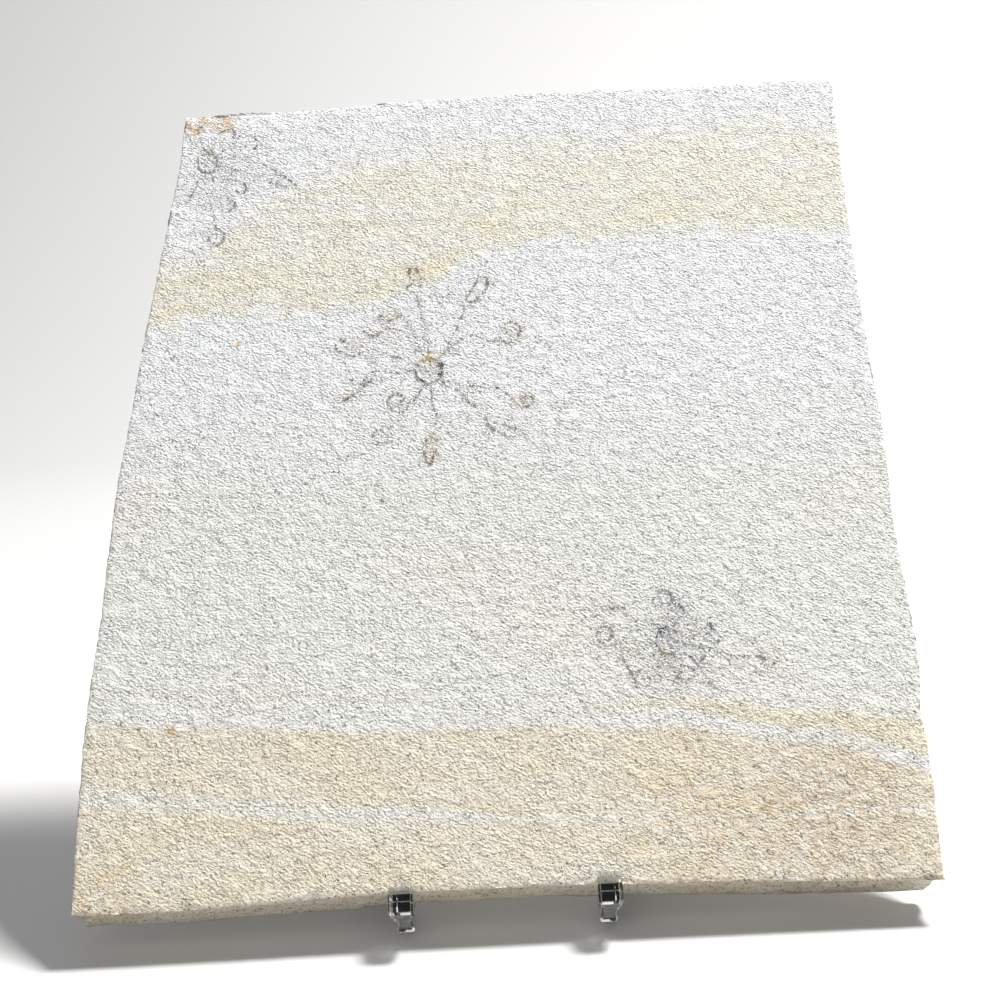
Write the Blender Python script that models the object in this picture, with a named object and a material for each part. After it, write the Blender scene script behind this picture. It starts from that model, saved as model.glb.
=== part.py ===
"""A slab of lithographic limestone with three small floating crinoids, leaning on a clear easel.

Metres, +Z up, the slab's face looking towards -Y. The origin is the middle of the whole thing's
footprint, on the surface that the easel stands on.

The slab and its fossils are drawn in the slab's own frame: X across it, Y up it from the line
where it sits in the easel's hooks, Z out of its face. One empty leans that frame back.
"""
import math

import bmesh
import bpy
from mathutils import Matrix, Vector, noise

MM = 0.001
FIT_GAP = 0.0003                    # clearance left between two pieces that touch

# ---- the slab
SLAB_THICKNESS = 0.0100
SLAB_LEAN = math.radians(37.5)      # from upright
EDGE_HEIGHT = 0.0094                # the face's lower edge over the floor, at the hooks
EDGE_STEP = 0.0120                  # spacing of the points along the broken edge
RIGHT_UNDERCUT = 0.0021             # how far the right edge slants in towards the back
EDGE_ROUGHNESS = 0.0016
EDGE_GRAIN = 45.0                   # noise cells per metre along the broken edge
LAYER_GRAIN = 9.0                   # times as many through the thickness

# The face's outline in mm, from the lower left corner round by the right.
SLAB_BOTTOM = [(-75.5, -0.6), (-65, -1.0), (-52, -0.8), (-34, -0.2), (-19, 0.2), (0, 0.2),
               (12, 0.1), (26, -0.4), (42, -0.9), (57, -1.6), (75.0, -2.3)]
SLAB_RIGHT = [(75.5, 6.5), (76.3, 14.5), (76.6, 24), (76.4, 29.3), (77.8, 36), (78.1, 43.5),
              (78.2, 58.5), (78.4, 70), (79.5, 81.5), (80, 93), (80, 105.5), (80.3, 118.5),
              (81.2, 138.5), (82.4, 159.7), (83.2, 174.7), (84.1, 184.3)]
SLAB_TOP = [(73, 184.7), (57, 184.6), (44, 184.4), (27, 185.1), (9, 185), (-8, 184.8),
            (-20, 184.4), (-31, 183.6), (-43, 183.3), (-53, 183.6), (-66, 183.0)]
SLAB_LEFT = [(-66.4, 176), (-66.5, 168.5), (-68, 153.5), (-70.1, 133.3), (-71.6, 117),
             (-72.6, 102), (-74.2, 85.5), (-74.9, 67), (-75, 56.4), (-75.9, 41.2),
             (-76.2, 30), (-75.9, 14), (-75.6, 4)]
# Down the broken edge: depth under the face and how far the stone steps back there, in mm.
EDGE_LAYERS = [(0, 0.35), (0.6, -0.4), (3.2, 0), (3.8, 0.35), (7.0, -0.1), (10, 0.3)]

# ---- the crinoids: places and sizes in mm in the slab's frame
CUP_RISE = 0.55                     # how far a cup stands over the face
ARM_RADIUS = 0.42
ARM_SINK = 0.06                     # the first arm's centre line lies this far under the face
ARM_STACK = 0.008                   # and each later one this much deeper, so that crossings differ
CURL_LIFT = 0.09                    # how far an arm's line rises on its way to the curled tip
TIP_TAPER = 0.6
ARM_SIDES_RESOLUTION = 0
ARM_STEP = 2.1                      # spacing of points along an arm

# Each arm is a few points in mm from the middle of its cup: (across, up).
MIDDLE_CRINOID = dict(
    name="crinoid_middle", centre=(-11.1, 108.9), cup=(3.3, 3.9),
    arms=[
        [(1.5, -2), (6.2, -4), (10.3, -4.8), (14, -5.5), (16, -7.1), (17.7, -9.4), (19.3, -10.2),
         (20.7, -9.8), (21, -8.1), (19.8, -7.6), (18.6, -8.5), (19.1, -9.5)],
        [(1.4, -2.1), (5.1, -4.9), (6.7, -6.3), (8.1, -8.6), (9.7, -9.6), (10.9, -11.4), (12.1, -14.9),
         (13.9, -16.2), (15.9, -17.5)],
        [(11.8, -13.4), (13.4, -14), (16.2, -15.1), (19.2, -16)],
        [(0.2, -2.6), (0.4, -6.4), (0.5, -8.8), (1.3, -11.5), (0.6, -15.6), (1.3, -17.3), (0.4, -21.2),
         (-0.4, -22.8), (-1.2, -21.1), (-1.3, -19), (-0.9, -16.9), (0.1, -16.5)],
        [(-0.7, -2.5), (-2.1, -5.5), (-4.4, -8.7), (-5.6, -9.9), (-7.1, -9.8), (-8.3, -8.5), (-8.7, -7),
         (-7.8, -5.8), (-6.4, -5.7), (-5.4, -6.7), (-6.2, -7.9)],
        [(-4.4, -8.7), (-5.9, -11.1), (-8.7, -14.3), (-8.6, -16), (-9.4, -17.1), (-10.6, -17),
         (-11.6, -15.8), (-11.4, -14.4), (-10.2, -14), (-9.4, -15)],
        [(-2.2, 0.4), (-5.3, 0), (-7.2, -0.4), (-9.4, 0.5), (-11.5, 0.4), (-13.4, -1), (-13.2, -2.8),
         (-16.5, -1.3)],
        [(-9.4, 0.5), (-11.5, -1.4), (-15.3, -4.9), (-18.5, -6.9)],
        [(-1.9, 1.3), (-5.7, 3.3), (-7.7, 3.9), (-10.2, 5.3), (-12.8, 6), (-15.9, 4.4), (-17.8, 5.6),
         (-19.2, 6.4), (-19.5, 7.7)],
        [(-12.8, 6), (-15.7, 7.2), (-18.6, 8.9)],
        [(-1.3, 2.2), (-4.3, 8.5), (-6, 10.4), (-8.1, 11.1), (-9.8, 10.4), (-11.7, 9.5), (-13.8, 10.9)],
        [(-0.8, 2.5), (-3.9, 11.3), (-5.7, 14.6), (-6.8, 13.6), (-8.5, 13.2), (-10, 14.6),
         (-10.8, 13.4)],
        [(0.1, 2.6), (-0.3, 8), (-0.9, 12.7), (-2.2, 19.1), (-1.3, 20.9), (-1.3, 23.6), (-2.1, 26.4),
         (-3.4, 27), (-3.6, 24.8), (-2.6, 23.2), (-4.1, 21.9), (-3.7, 20.3)],
        [(1.1, 2.3), (4.9, 7.7), (7.6, 14.3), (7.9, 16.9), (10.3, 21.5), (11.4, 23.3), (12.9, 23),
         (12.8, 20.5), (11.4, 18.5), (9.9, 17), (8.6, 17.1)],
        [(1.4, 2.1), (3.8, 4.7), (7.4, 7.8), (9.5, 8.2), (12, 6.7), (14.9, 6.5), (17, 6.1), (18.5, 6.8),
         (19.4, 8.6), (18.9, 10.4), (17.5, 11.3), (16.1, 10.1), (16.7, 8.2)],
    ])
TOP_LEFT_CRINOID = dict(
    name="crinoid_top_left", centre=(-59.9, 168.9), cup=(2.6, 3.6),
    arms=[
        [(1.7, 0.7), (4.8, 1.5), (9.9, 0.5), (15.4, -3.7), (20.3, -8.2)],
        [(1.6, -0.9), (7.3, -2.9), (13.2, -5.9), (18, -8.6)],
        [(1.1, -1.9), (3.3, -5), (7.4, -6.1), (9, -8), (8.2, -9.7), (6.8, -8.7)],
        [(0.6, -2.3), (1.6, -6.6), (1.4, -8.9), (3.3, -10.8), (5.4, -11.2), (6.8, -13.1), (5.7, -14.4)],
        [(-0.3, -2.4), (-0.5, -6.8), (0.6, -10.6), (1.9, -14.7), (2.6, -18.8), (4.4, -20.6),
         (4.5, -22.8), (3, -23.9), (1.4, -22.6), (1.6, -20.7), (3.1, -21.1)],
        [(-0.9, -2.1), (-1.9, -5.5), (-3.6, -10.9)],
        [(1.4, 1.5), (5.4, 5), (6.9, 7.4), (8.7, 8.2), (10.6, 6.2), (10.9, 3.8), (9.3, 3), (8.3, 4.5)],
        [(0.3, 2.4), (1, 6), (2, 8.3), (4, 9.7), (5.7, 9), (5.5, 6.9)],
        [(-0.5, 2.3), (-2.6, 9), (-1.8, 11)],
    ])
LOW_RIGHT_CRINOID = dict(
    name="crinoid_low_right", centre=(32.1, 45.2), cup=(2.5, 3.2),
    arms=[
        [(-0.2, 2.2), (-0.7, 4.9), (-2.1, 8.3), (-1.2, 9.7), (0.4, 10.3), (1.6, 9.3), (1.5, 7.9),
         (0.1, 7.1), (-0.8, 8)],
        [(1, 1.8), (2.2, 4.1), (3.6, 5.3), (3.4, 6.7), (2.2, 7.6)],
        [(1.5, 1.1), (5.2, 3.7), (6.9, 3.6), (8.4, 2.7), (8.8, 1.2), (7.5, 0.9)],
        [(1.7, 0.3), (5.8, 0.8), (7, -0.3), (8.6, -1.2), (9.8, -0.3)],
        [(1.6, -0.7), (5.7, -1.6), (6.7, -2.9), (5.6, -4.1), (4.4, -3.4)],
        [(1.3, -1.5), (4.5, -4.4), (6.3, -7.9), (8.4, -10.6)],
        [(0.5, -2.1), (1.3, -4.6), (4.1, -6.2), (3.9, -7.6), (2.4, -8.1), (1, -7.4), (1.7, -6.5)],
        [(-0.4, -2.1), (-1.5, -4.7), (-3, -5.4), (-4.9, -5.5), (-6.4, -6), (-6, -7.2), (-4.2, -7.5),
         (-2.8, -6.8)],
        [(-1.1, -1.6), (-5.1, -3.5), (-8.8, -1.2), (-8.6, -3.3), (-7.7, -5.3), (-6, -9.4)],
        [(-1.6, -0.8), (-5.5, 0.2), (-7.3, 0.7), (-10.6, -0.5), (-12.2, 0), (-13.2, 1.7), (-12.4, 3.3),
         (-10.8, 3.4), (-10, 1.9), (-11, 0.9)],
        [(-1.6, 0.5), (-4.6, 1.6), (-5.6, 2.7), (-7, 2.1)],
        [(-1, 1.8), (-2.5, 3.9), (-3.7, 5.9), (-5.3, 6.8), (-11.8, 7.6)],
        [(1.7, -0.3), (8.2, -2.8), (12.1, -3.8), (17.1, -4.3), (16.9, -5.9), (18.1, -6.4),
         (19.5, -5.5)],
    ])

# ---- the easel
PLATE_THICKNESS = 0.0026
ARM_THICKNESS = 0.0030              # of the hooks' arms
LIP_WIDTH = 0.0042
SPLAY = math.radians(22)            # how far each side frame turns outwards, going back
FRAME_START = 0.0085                # where the side frames begin, behind the slab's lower edge
HOOK_MIDDLE = -0.0005               # across the slab's frame
HOOK_SPREAD = 0.0179                # each hook's distance from their middle
LIP_HEIGHT = 0.0018                 # over the slab's lower edge
LIP_OUT = 0.0028                    # the lip's front, in front of the slab's face
HEEL_DROP = 0.0039                  # underside of the hook's arm, below the slab's lower edge
UPRIGHT_WIDTH = 0.0046
UPRIGHT_REACH = 0.112               # how far up the slab's back the easel reaches
STRUT_FOOT_Y = 0.094                # back of the rear foot, behind the slab's lower edge
FOOT_LENGTH = 0.0075
BASE_CLEARANCE = 0.0026
BAR_WIDTH = 0.0046
CROSS_BAR_RADIUS = 0.0022
EDGE_ROUND = 0.0003
CORNER_STEPS = 2

STONE_COLOUR = (0.80, 0.78, 0.72, 1)
FOSSIL_COLOUR = (0.42, 0.36, 0.28, 1)
CLEAR_COLOUR = (0.95, 0.97, 0.98, 1)


# ---------------------------------------------------------------- scene and materials
def clear_scene():
    for thing in list(bpy.data.objects):
        bpy.data.objects.remove(thing, do_unlink=True)


def new_collection(name):
    collection = bpy.data.collections.new(name)
    bpy.context.scene.collection.children.link(collection)
    return collection


def principled(name, colour, roughness, transmission=0.0, ior=1.5):
    material = bpy.data.materials.new(name)
    material.use_nodes = True
    shader = material.node_tree.nodes["Principled BSDF"]
    shader.inputs["Base Color"].default_value = colour
    shader.inputs["Roughness"].default_value = roughness
    shader.inputs["Metallic"].default_value = 0.0
    shader.inputs["Transmission Weight"].default_value = transmission
    shader.inputs["IOR"].default_value = ior
    return material


def new_object(name, data, collection, parent=None):
    thing = bpy.data.objects.new(name, data)
    collection.objects.link(thing)
    thing.parent = parent
    return thing


def mesh_from(form, name, collection, parent=None):
    """A bmesh as an object, all of its faces pointing out."""
    bmesh.ops.recalc_face_normals(form, faces=form.faces)
    mesh = bpy.data.meshes.new(name)
    form.to_mesh(mesh)
    form.free()
    return new_object(name, mesh, collection, parent)


def solid_from_curve(curve_object):
    """The curve as a closed mesh object under the same name and parent."""
    bpy.context.view_layer.update()
    evaluated = curve_object.evaluated_get(bpy.context.evaluated_depsgraph_get())
    mesh = bpy.data.meshes.new_from_object(evaluated)
    form = bmesh.new()
    form.from_mesh(mesh)
    bmesh.ops.remove_doubles(form, verts=form.verts, dist=0.00001)
    bmesh.ops.recalc_face_normals(form, faces=form.faces)
    form.to_mesh(mesh)
    form.free()
    name = curve_object.name
    place = curve_object.matrix_world.copy()
    collection = curve_object.users_collection[0]
    parent = curve_object.parent
    bpy.data.objects.remove(curve_object)
    solid = new_object(name, mesh, collection, parent)
    solid.matrix_world = place
    return solid


def boolean(target, operation, operand, own_overlaps=False):
    step = target.modifiers.new(f"{operation.lower()} {operand.name}", "BOOLEAN")
    step.operation = operation
    step.object = operand
    step.solver = "EXACT"
    step.use_self = own_overlaps


def mark_as_cutter(thing):
    thing.hide_render = True
    thing.display_type = "WIRE"


def smooth(thing, angle):
    thing.data.shade_smooth()
    thing.data.set_sharp_from_angle(angle=math.radians(angle))


# ---------------------------------------------------------------- curves and outlines
def walk(points, step, closed=False):
    """Points every `step` or a little less along the straight lines between the given ones."""
    corners = points + [points[0]] if closed else points
    walked = []
    for start, end in zip(corners, corners[1:]):
        parts = max(1, round(math.dist(start, end) / step))
        walked += [tuple(a + (b - a) * k / parts for a, b in zip(start, end)) for k in range(parts)]
    return walked if closed else walked + [points[-1]]


def flowing(points, step):
    """A smooth line through the points (Catmull-Rom), sampled about every `step`."""
    ends = [points[0]] + points + [points[-1]]
    line = []
    for a, b, c, d in zip(ends, ends[1:], ends[2:], ends[3:]):
        parts = max(1, round(math.dist(b, c) / step))
        for k in range(parts):
            t = k / parts
            line.append(tuple(
                0.5 * (2 * q + (r - p) * t + (2 * p - 5 * q + 4 * r - s) * t ** 2
                       + (3 * q - p - 3 * r + s) * t ** 3)
                for p, q, r, s in zip(a, b, c, d)))
    return line + [points[-1]]


def rounded(corners):
    """A closed outline from (x, y, radius) corners, each turned with a short arc."""
    outline = []
    count = len(corners)
    for index, (x, y, radius) in enumerate(corners):
        here = Vector((x, y))
        to_last = (Vector(corners[index - 1][:2]) - here).normalized()
        to_next = (Vector(corners[(index + 1) % count][:2]) - here).normalized()
        half = to_last.angle(to_next) / 2
        reach = radius / math.tan(half)
        hub = here + (to_last + to_next).normalized() * (radius / math.sin(half))
        start = here + to_last * reach - hub
        end = here + to_next * reach - hub
        turn = start.angle_signed(end)
        for k in range(CORNER_STEPS + 1):
            spoke = start.copy()
            spoke.rotate(Matrix.Rotation(-turn * k / CORNER_STEPS, 2))
            outline.append(tuple(hub + spoke))
    return outline


# ---------------------------------------------------------------- the slab
def broken_back(point, depth):
    """How far the stone has broken away inside its outline, at a point of the edge and a depth."""
    cell = Vector((point[0] * EDGE_GRAIN, point[1] * EDGE_GRAIN, depth * EDGE_GRAIN * LAYER_GRAIN))
    return (0.5 + 0.5 * noise.noise(cell)) * EDGE_ROUGHNESS


def edge_ring(outline, depth, step_back):
    """The outline at one depth under the face: stepped back, undercut at the right, and rough."""
    ring = []
    count = len(outline)
    for index, point in enumerate(outline):
        before = Vector(outline[index - 1])
        after = Vector(outline[(index + 1) % count])
        along = (after - before).normalized()
        outward = Vector((along.y, -along.x))
        undercut = RIGHT_UNDERCUT * max(0.0, outward.x) * depth / SLAB_THICKNESS
        move = -step_back - undercut
        if depth > 0:
            move -= broken_back(point, depth)
        placed = Vector(point) + outward * move
        ring.append((placed.x, placed.y, -depth))
    return ring


def limestone_slab(collection, frame, material):
    outline = [(x * MM, y * MM) for x, y in SLAB_BOTTOM + SLAB_RIGHT + SLAB_TOP + SLAB_LEFT]
    outline = walk(outline, EDGE_STEP, closed=True)
    form = bmesh.new()
    rings = [[form.verts.new(spot) for spot in edge_ring(outline, depth * MM, back * MM)]
             for depth, back in EDGE_LAYERS]
    for upper, lower in zip(rings, rings[1:]):
        for k in range(len(outline)):
            form.faces.new((upper[k - 1], upper[k], lower[k], lower[k - 1]))
    form.faces.new(rings[0])
    form.faces.new(reversed(rings[-1]))
    slab = mesh_from(form, "limestone_slab", collection, frame)
    slab.data.materials.append(material)
    return slab


# ---------------------------------------------------------------- the crinoids
def cup_solid(name, crinoid, grow, collection, frame):
    """The cup: a low dome, its middle level with the slab's face."""
    form = bmesh.new()
    bmesh.ops.create_uvsphere(form, u_segments=12, v_segments=6, radius=1.0)
    across, up = crinoid["cup"]
    bmesh.ops.scale(form, verts=form.verts, vec=(across * MM + grow, up * MM + grow,
                                                 CUP_RISE * MM + grow))
    x, y = crinoid["centre"]
    bmesh.ops.translate(form, verts=form.verts, vec=(x * MM, y * MM, 0))
    return mesh_from(form, name, collection, frame)


def arm_solid(name, crinoid, number, grow, collection, frame):
    """One arm: a thin tube half sunk in the face, tapering to its curled tip."""
    curve = bpy.data.curves.new(name, "CURVE")
    curve.dimensions = "3D"
    curve.bevel_depth = 1.0
    curve.bevel_resolution = ARM_SIDES_RESOLUTION
    curve.use_fill_caps = True
    line = flowing(crinoid["arms"][number], ARM_STEP)
    depth = ARM_SINK + ARM_STACK * number
    spline = curve.splines.new("POLY")
    spline.points.add(len(line) - 1)
    centre = crinoid["centre"]
    for index, (point, (across, up)) in enumerate(zip(spline.points, line)):
        share = index / (len(line) - 1)
        taper = 1 - (1 - TIP_TAPER) * share
        height = CURL_LIFT * share - depth
        point.co = ((centre[0] + across) * MM, (centre[1] + up) * MM, height * MM, 1)
        point.radius = ARM_RADIUS * MM * taper + grow
    return solid_from_curve(new_object(name, curve, collection, frame))


def crinoid_solid(crinoid, grow, collection, helpers, frame, suffix=""):
    """Cup and arms joined in one body, `grow` larger all round."""
    whole = cup_solid(crinoid["name"] + suffix, crinoid, grow, collection, frame)
    for number in range(len(crinoid["arms"])):
        name = f"{crinoid['name']}{suffix}_arm_{number}"
        piece = arm_solid(name, crinoid, number, grow, helpers, frame)
        mark_as_cutter(piece)
        boolean(whole, "UNION", piece, own_overlaps=True)
    return whole


# ---------------------------------------------------------------- the easel
def beside_slab(up, out):
    """(back, height) of a point `up` the slab and `out` of its face, in the world's side view."""
    back = up * math.sin(SLAB_LEAN) - out * math.cos(SLAB_LEAN)
    height = EDGE_HEIGHT + up * math.cos(SLAB_LEAN) + out * math.sin(SLAB_LEAN)
    return back, height


def hook_outlines():
    """The hook's arm with its heel, and the lip across its front, as (back, height, corner radius)."""
    overlap = 0.001                 # past the seat, which the slab's clearance then trims
    seat_back = -SLAB_THICKNESS + overlap
    arm_end = -SLAB_THICKNESS - UPRIGHT_WIDTH + 0.0004
    underside_end = (HEEL_DROP * math.cos(SLAB_LEAN) - EDGE_HEIGHT) / math.sin(SLAB_LEAN)
    heel = beside_slab(-HEEL_DROP, underside_end)[0]
    arm = [
        (*beside_slab(overlap, LIP_OUT - 0.0012), 0.0005),
        (*beside_slab(-HEEL_DROP, LIP_OUT - 0.0010), 0.0005),
        (heel, 0, 0.0012),
        (heel + FOOT_LENGTH, 0, 0.0008),
        (*beside_slab(0.0025, arm_end), 0.0010),
        (*beside_slab(0.0050, arm_end), 0.0008),
        (*beside_slab(0.0060, seat_back), 0.0005),
        (*beside_slab(overlap, seat_back), 0.0005),
    ]
    lip = [
        (*beside_slab(LIP_HEIGHT, -overlap), 0.0005),
        (*beside_slab(LIP_HEIGHT, LIP_OUT - 0.0004), 0.0008),
        (*beside_slab(-HEEL_DROP - 0.0001, LIP_OUT + 0.0006), 0.0010),
        (*beside_slab(-HEEL_DROP - 0.0001, -0.0004), 0.0006),
    ]
    return arm, lip


def side_frame_outlines():
    """The side frame's outer outline and its window, as (back, height, corner radius)."""
    seat_back = -SLAB_THICKNESS + 0.0012
    upright_back = -SLAB_THICKNESS - UPRIGHT_WIDTH
    top_back, top_height = beside_slab(UPRIGHT_REACH, upright_back)
    outer = [
        (FRAME_START, BASE_CLEARANCE - 0.0005, 0.0006),
        (STRUT_FOOT_Y - FOOT_LENGTH - 0.003, BASE_CLEARANCE, 0.002),
        (STRUT_FOOT_Y - FOOT_LENGTH, 0, 0.0008),
        (STRUT_FOOT_Y, 0, 0.0015),
        (top_back + 0.0075, top_height - 0.001, 0.004),
        (*beside_slab(UPRIGHT_REACH + 0.002, seat_back), 0.0005),
        (*beside_slab(0.0005, seat_back), 0.0005),
    ]
    base_top = BASE_CLEARANCE + BAR_WIDTH
    corner_up = (base_top - EDGE_HEIGHT - upright_back * math.sin(SLAB_LEAN)) / math.cos(SLAB_LEAN)
    window = [
        (*beside_slab(corner_up, upright_back), 0.002),
        (*beside_slab(UPRIGHT_REACH - 0.012, upright_back), 0.002),
        (STRUT_FOOT_Y - BAR_WIDTH - 0.0005, base_top, 0.003),
    ]
    return outer, window


def cut_from_plate(name, outlines, thickness, collection, root):
    """A flat plate with rounded edges, standing in the side view's plane."""
    curve = bpy.data.curves.new(name, "CURVE")
    curve.dimensions = "2D"
    curve.fill_mode = "BOTH"
    curve.extrude = thickness / 2 - EDGE_ROUND
    curve.bevel_depth = EDGE_ROUND
    curve.bevel_resolution = 0
    curve.offset = -EDGE_ROUND
    for outline in outlines:
        spline = curve.splines.new("POLY")
        spline.use_cyclic_u = True
        points = rounded(outline)
        spline.points.add(len(points) - 1)
        for point, (back, height) in zip(spline.points, points):
            point.co = (back, height, 0, 1)
    return new_object(name, curve, collection, root)


def side_frame(side, collection, root):
    """One side frame of upright, rear strut and base bar, which splays outwards behind its hook."""
    outlines = [[((back - FRAME_START) / math.cos(SPLAY), height, radius)
                 for back, height, radius in outline] for outline in side_frame_outlines()]
    frame = cut_from_plate(f"side_frame_{'right' if side > 0 else 'left'}", outlines,
                           PLATE_THICKNESS, collection, root)
    frame.location = (HOOK_MIDDLE + side * HOOK_SPREAD, FRAME_START, 0)
    frame.rotation_euler = (math.pi / 2, 0, math.pi / 2 - side * SPLAY)
    return solid_from_curve(frame)


def hook(side, collection, root):
    """One hook, straight from front to back: an arm on its heel, and a wider lip across its front."""
    tag = "right" if side > 0 else "left"
    arm_outline, lip_outline = hook_outlines()
    made = []
    for name, outline, thickness in (("arm", arm_outline, ARM_THICKNESS), ("lip", lip_outline, LIP_WIDTH)):
        piece = cut_from_plate(f"hook_{name}_{tag}", [outline], thickness, collection, root)
        piece.location = (HOOK_MIDDLE + side * HOOK_SPREAD, 0, 0)
        piece.rotation_euler = (math.pi / 2, 0, math.pi / 2)
        made.append(solid_from_curve(piece))
    return made


def cross_bar(name, back, height, collection, root):
    """A round bar from one side frame to the other."""
    half = HOOK_SPREAD + (back - FRAME_START) * math.tan(SPLAY)
    form = bmesh.new()
    bmesh.ops.create_cone(form, cap_ends=True, segments=12, radius1=CROSS_BAR_RADIUS,
                          radius2=CROSS_BAR_RADIUS, depth=2 * half)
    bar = mesh_from(form, name, collection, root)
    bar.location = (HOOK_MIDDLE, back, height)
    bar.rotation_euler = (0, math.pi / 2, 0)
    return bar


def slab_clearance(collection, frame):
    """The room that the slab takes up in the hooks and along the uprights, with the fit's gap."""
    length = 0.2
    form = bmesh.new()
    bmesh.ops.create_cube(form, size=1)
    bmesh.ops.scale(form, verts=form.verts, vec=(length, length, SLAB_THICKNESS + 2 * FIT_GAP))
    bmesh.ops.translate(form, verts=form.verts, vec=(0, length / 2 - FIT_GAP, -SLAB_THICKNESS / 2))
    return mesh_from(form, "slab_clearance", collection, frame)


def display_stand(collection, helpers, root, frame, material):
    stand = side_frame(-1, collection, root)
    stand.name = "display_stand"
    top_back, top_height = beside_slab(UPRIGHT_REACH - 0.008, -SLAB_THICKNESS - 0.003)
    rear_back = STRUT_FOOT_Y - BAR_WIDTH
    rear_height = BASE_CLEARANCE + BAR_WIDTH / 2
    joined = [
        side_frame(1, helpers, root),
        *hook(-1, helpers, root),
        *hook(1, helpers, root),
        cross_bar("top_cross_bar", top_back, top_height, helpers, root),
        cross_bar("rear_cross_bar", rear_back, rear_height, helpers, root),
    ]
    for piece in joined:
        mark_as_cutter(piece)
        boolean(stand, "UNION", piece)
    clearance = slab_clearance(helpers, frame)
    mark_as_cutter(clearance)
    boolean(stand, "DIFFERENCE", clearance)
    stand.data.materials.append(material)
    return stand


# ---------------------------------------------------------------- the whole
def stand_on_origin(root, pieces):
    """Moves the root so that the middle of the whole thing's footprint is the origin."""
    bpy.context.view_layer.update()
    depsgraph = bpy.context.evaluated_depsgraph_get()
    spots = []
    for piece in pieces:
        evaluated = piece.evaluated_get(depsgraph)
        spots += [evaluated.matrix_world @ vertex.co for vertex in evaluated.data.vertices]
    low = Vector([min(spot[axis] for spot in spots) for axis in range(3)])
    high = Vector([max(spot[axis] for spot in spots) for axis in range(3)])
    root.location -= Vector(((low.x + high.x) / 2, (low.y + high.y) / 2, low.z))


def build():
    clear_scene()
    parts = new_collection("crinoid_fossil")
    helpers = new_collection("cutters")
    stone = principled("limestone", STONE_COLOUR, 0.85)
    calcite = principled("fossil calcite", FOSSIL_COLOUR, 0.6)
    clear = principled("clear plastic", CLEAR_COLOUR, 0.05, transmission=1.0, ior=1.49)

    root = new_object("footprint", None, parts)
    frame = new_object("slab_frame", None, parts, root)
    frame.location = (0, 0, EDGE_HEIGHT)
    frame.rotation_euler = (math.pi / 2 - SLAB_LEAN, 0, 0)
    bpy.context.view_layer.update()

    slab = limestone_slab(parts, frame, stone)
    pieces = [slab]
    for crinoid in (MIDDLE_CRINOID, TOP_LEFT_CRINOID, LOW_RIGHT_CRINOID):
        fossil = crinoid_solid(crinoid, 0.0, parts, helpers, frame)
        fossil.data.materials.append(calcite)
        bed = crinoid_solid(crinoid, FIT_GAP, helpers, helpers, frame, suffix="_bed")
        mark_as_cutter(bed)
        boolean(slab, "DIFFERENCE", bed)
        pieces.append(fossil)
    stand = display_stand(parts, helpers, root, frame, clear)
    pieces.append(stand)
    stand_on_origin(root, pieces)
    smooth(stand, 30)


build()
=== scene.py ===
# %% [markdown]
# # A slab of crinoids on a clear easel
# A thin slab of fine limestone leans back on a small moulded easel. Three floating crinoids lie
# on its face: a cup no bigger than a pea and about ten thread-thin arms whose tips curl up.
# The solid model gives every piece its place and size. This lesson only dresses it: stone, iron
# stains, the little chains of plates that the arms are made of, and clear plastic.

# %% Load the solid model
import math

import bpy
import numpy as np
from mathutils import Matrix, Vector, kdtree, noise


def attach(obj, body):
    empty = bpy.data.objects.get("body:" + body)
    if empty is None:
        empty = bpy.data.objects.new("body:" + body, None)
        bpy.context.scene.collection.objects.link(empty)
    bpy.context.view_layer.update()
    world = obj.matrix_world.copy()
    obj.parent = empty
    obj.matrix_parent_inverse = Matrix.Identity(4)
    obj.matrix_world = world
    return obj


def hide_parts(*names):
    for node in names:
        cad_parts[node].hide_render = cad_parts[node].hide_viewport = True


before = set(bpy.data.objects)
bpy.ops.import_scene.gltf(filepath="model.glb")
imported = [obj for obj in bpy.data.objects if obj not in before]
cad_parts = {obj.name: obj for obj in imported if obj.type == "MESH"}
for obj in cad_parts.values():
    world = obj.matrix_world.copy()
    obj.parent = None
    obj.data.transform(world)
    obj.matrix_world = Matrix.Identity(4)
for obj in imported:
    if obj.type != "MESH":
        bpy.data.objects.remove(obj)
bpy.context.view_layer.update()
MM = 0.001

# %% [markdown]
# ## The slab's own axes
# Everything on the face is easier to place in the slab's own millimetres: across it, up it from
# the line where it sits in the hooks, and out of its face. One matrix then leans all of it back.
# Pieces are modelled flat in these axes, and their vertices are moved once, at the end.

# %% The slab's axes in the room
SLAB_LEAN = math.radians(37.5)
SLAB_THICKNESS = 10.0
SEAT_LINE = Vector((-0.00397, -0.057611, 0.0094))

slab_to_room = (Matrix.Translation(SEAT_LINE)
                @ Matrix.Rotation(math.pi / 2 - SLAB_LEAN, 4, "X")
                @ Matrix.Scale(MM, 4))


def on_slab(across, up, out=0.0):
    """A point given in the slab's millimetres, as a place in the room."""
    return slab_to_room @ Vector((across, up, out))


print("top of the slab is", round(on_slab(0, 185).z, 4), "m over the floor")

# %% [markdown]
# ## The camera
# The camera stands close to the slab, looks slightly down and is rolled a little, so the slab's
# sides draw together towards the top. Placing the camera from the slab's own axes, and not by
# eye, keeps that perspective exact.

# %% Camera
FRAME_PIXELS = 1000
FOCAL_PIXELS = 1520                 # the lens's focal length, in pixels of a square picture
SENSOR_WIDTH = 36.0
CAMERA_ROLL = math.radians(3.0)
CAMERA_TILT = math.radians(7.985)   # down from level
SIGHT_DISTANCE = 260.72 * MM        # from the camera to the slab's lower edge, along its sight
EDGE_RIGHT_OF_SIGHT = -2.08 * MM
EDGE_ABOVE_SIGHT = -68.30 * MM

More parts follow.
